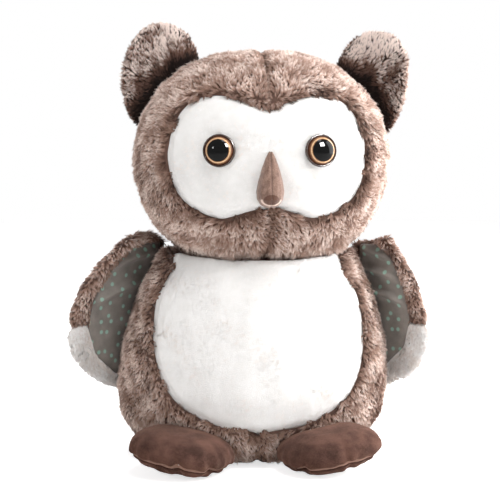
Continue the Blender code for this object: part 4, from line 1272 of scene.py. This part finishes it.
def make_eye(side):
    place, facing = eye_axis(side)
    end = -EYE_STEM_LENGTH
    cup = [(0.0, CUP_TOP), (DOME_RADIUS, CUP_TOP)]
    cup += curve((0.01155, 0.0022), (0.00075, 0.0010), 180, 0, 9)
    cup += [(EYE_RADIUS, 0.0010), (0.0118, CUP_BOTTOM), (STEM_RADIUS, CUP_BOTTOM)]
    cup += [(STEM_RADIUS, end + 0.0005), (STEM_RADIUS - 0.0005, end), (0.0, end)]
    dome = [(0.0, 0.0014), (DOME_RADIUS, 0.0014)]
    dome += curve((0.0, DOME_EDGE), (DOME_RADIUS, DOME_RISE), 4, 88, 22) + [(0.0, DOME_EDGE + DOME_RISE)]
    for piece, profile, made, slot in (
        ("back", cup, CUP_PLASTIC, "eye_rim_plastic"), ("dome", dome, DOME_PLASTIC, "eye_pupil_plastic"),
    ):
        mesh = turned_mesh(f"eye_{side}_{piece}_turned", profile, place, facing)
        obj = new_object(mesh.name, mesh)
        add_piece(obj, "head", made)
        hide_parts(f"eye_{side}_{piece}")


for side in SIDES:
    make_eye(side)

# %% [markdown]
# ## What nobody sees
# The pellet bag that makes the owl stand, the twill tape round its neck seam, and the eyes' washers and
# foils are inside. They still get their finish, because the part can be taken apart.

# %% Hidden pieces
BAG_PIECE_VOXEL = 0.0022
TAPE_VOXEL = 0.0009


def plain_cotton(start):
    place = start.at_rest()
    weave = place.noise(1800.0, 2.0)
    marks = (weave * 0.6 + place.noise(120.0) * 0.4).between(0.3, 0.7)
    color = marks.blend(rgb(206, 200, 186), rgb(226, 221, 208))
    return {"Base Color": color, "Normal": weave.bump(0.0003, 0.6)}


def twill(start):
    place = start.at_rest()
    settings = {"wave_type": "BANDS", "bands_direction": "DIAGONAL"}
    sockets = {"Vector": place, "Scale": 420.0, "Distortion": 1.5}
    ribs = place.add("ShaderNodeTexWave", settings, sockets, "Fac")
    color = ribs.blend(rgb(194, 184, 174), rgb(224, 216, 206))
    return {"Base Color": color, "Normal": ribs.bump(0.0002, 0.6)}


plain_look = {"Roughness": 0.95, "Sheen Weight": 0.2}
PLAIN_COTTON = finish("plain_cotton", plain_look, plain_cotton)
TWILL = finish("twill", plain_look, twill)
pale_grain = grained(900.0, (224, 224, 220), (236, 236, 232))
copper_grain = grained(500.0, (150, 100, 64), (190, 138, 96), 3.0)
MOULDED = finish("moulded_plastic", {"Roughness": 0.45}, pale_grain)
FOIL = finish("copper_foil", {"Roughness": 0.3, "Metallic": 0.8}, copper_grain)

bag = new_object("pellet_bag_sewn", skin_round(["pellet_bag"], BAG_PIECE_VOXEL, 8, 0.0))
add_piece(bag, "body", PLAIN_COTTON)
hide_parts("pellet_bag")
tape = new_object("neck_tape_woven", skin_round(["neck_tape"], TAPE_VOXEL, 2, 0.0))
add_piece(tape, "neck", TWILL)
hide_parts("neck_tape")
for side in SIDES:
    for node, made in ((f"eye_{side}_washer", MOULDED), (f"eye_{side}_iris", FOIL)):
        for holder in frame["nodes"][node].material_slots:
            holder.material = made
print("hidden pieces:", len(bag.data.polygons), "and", len(tape.data.polygons), "faces")
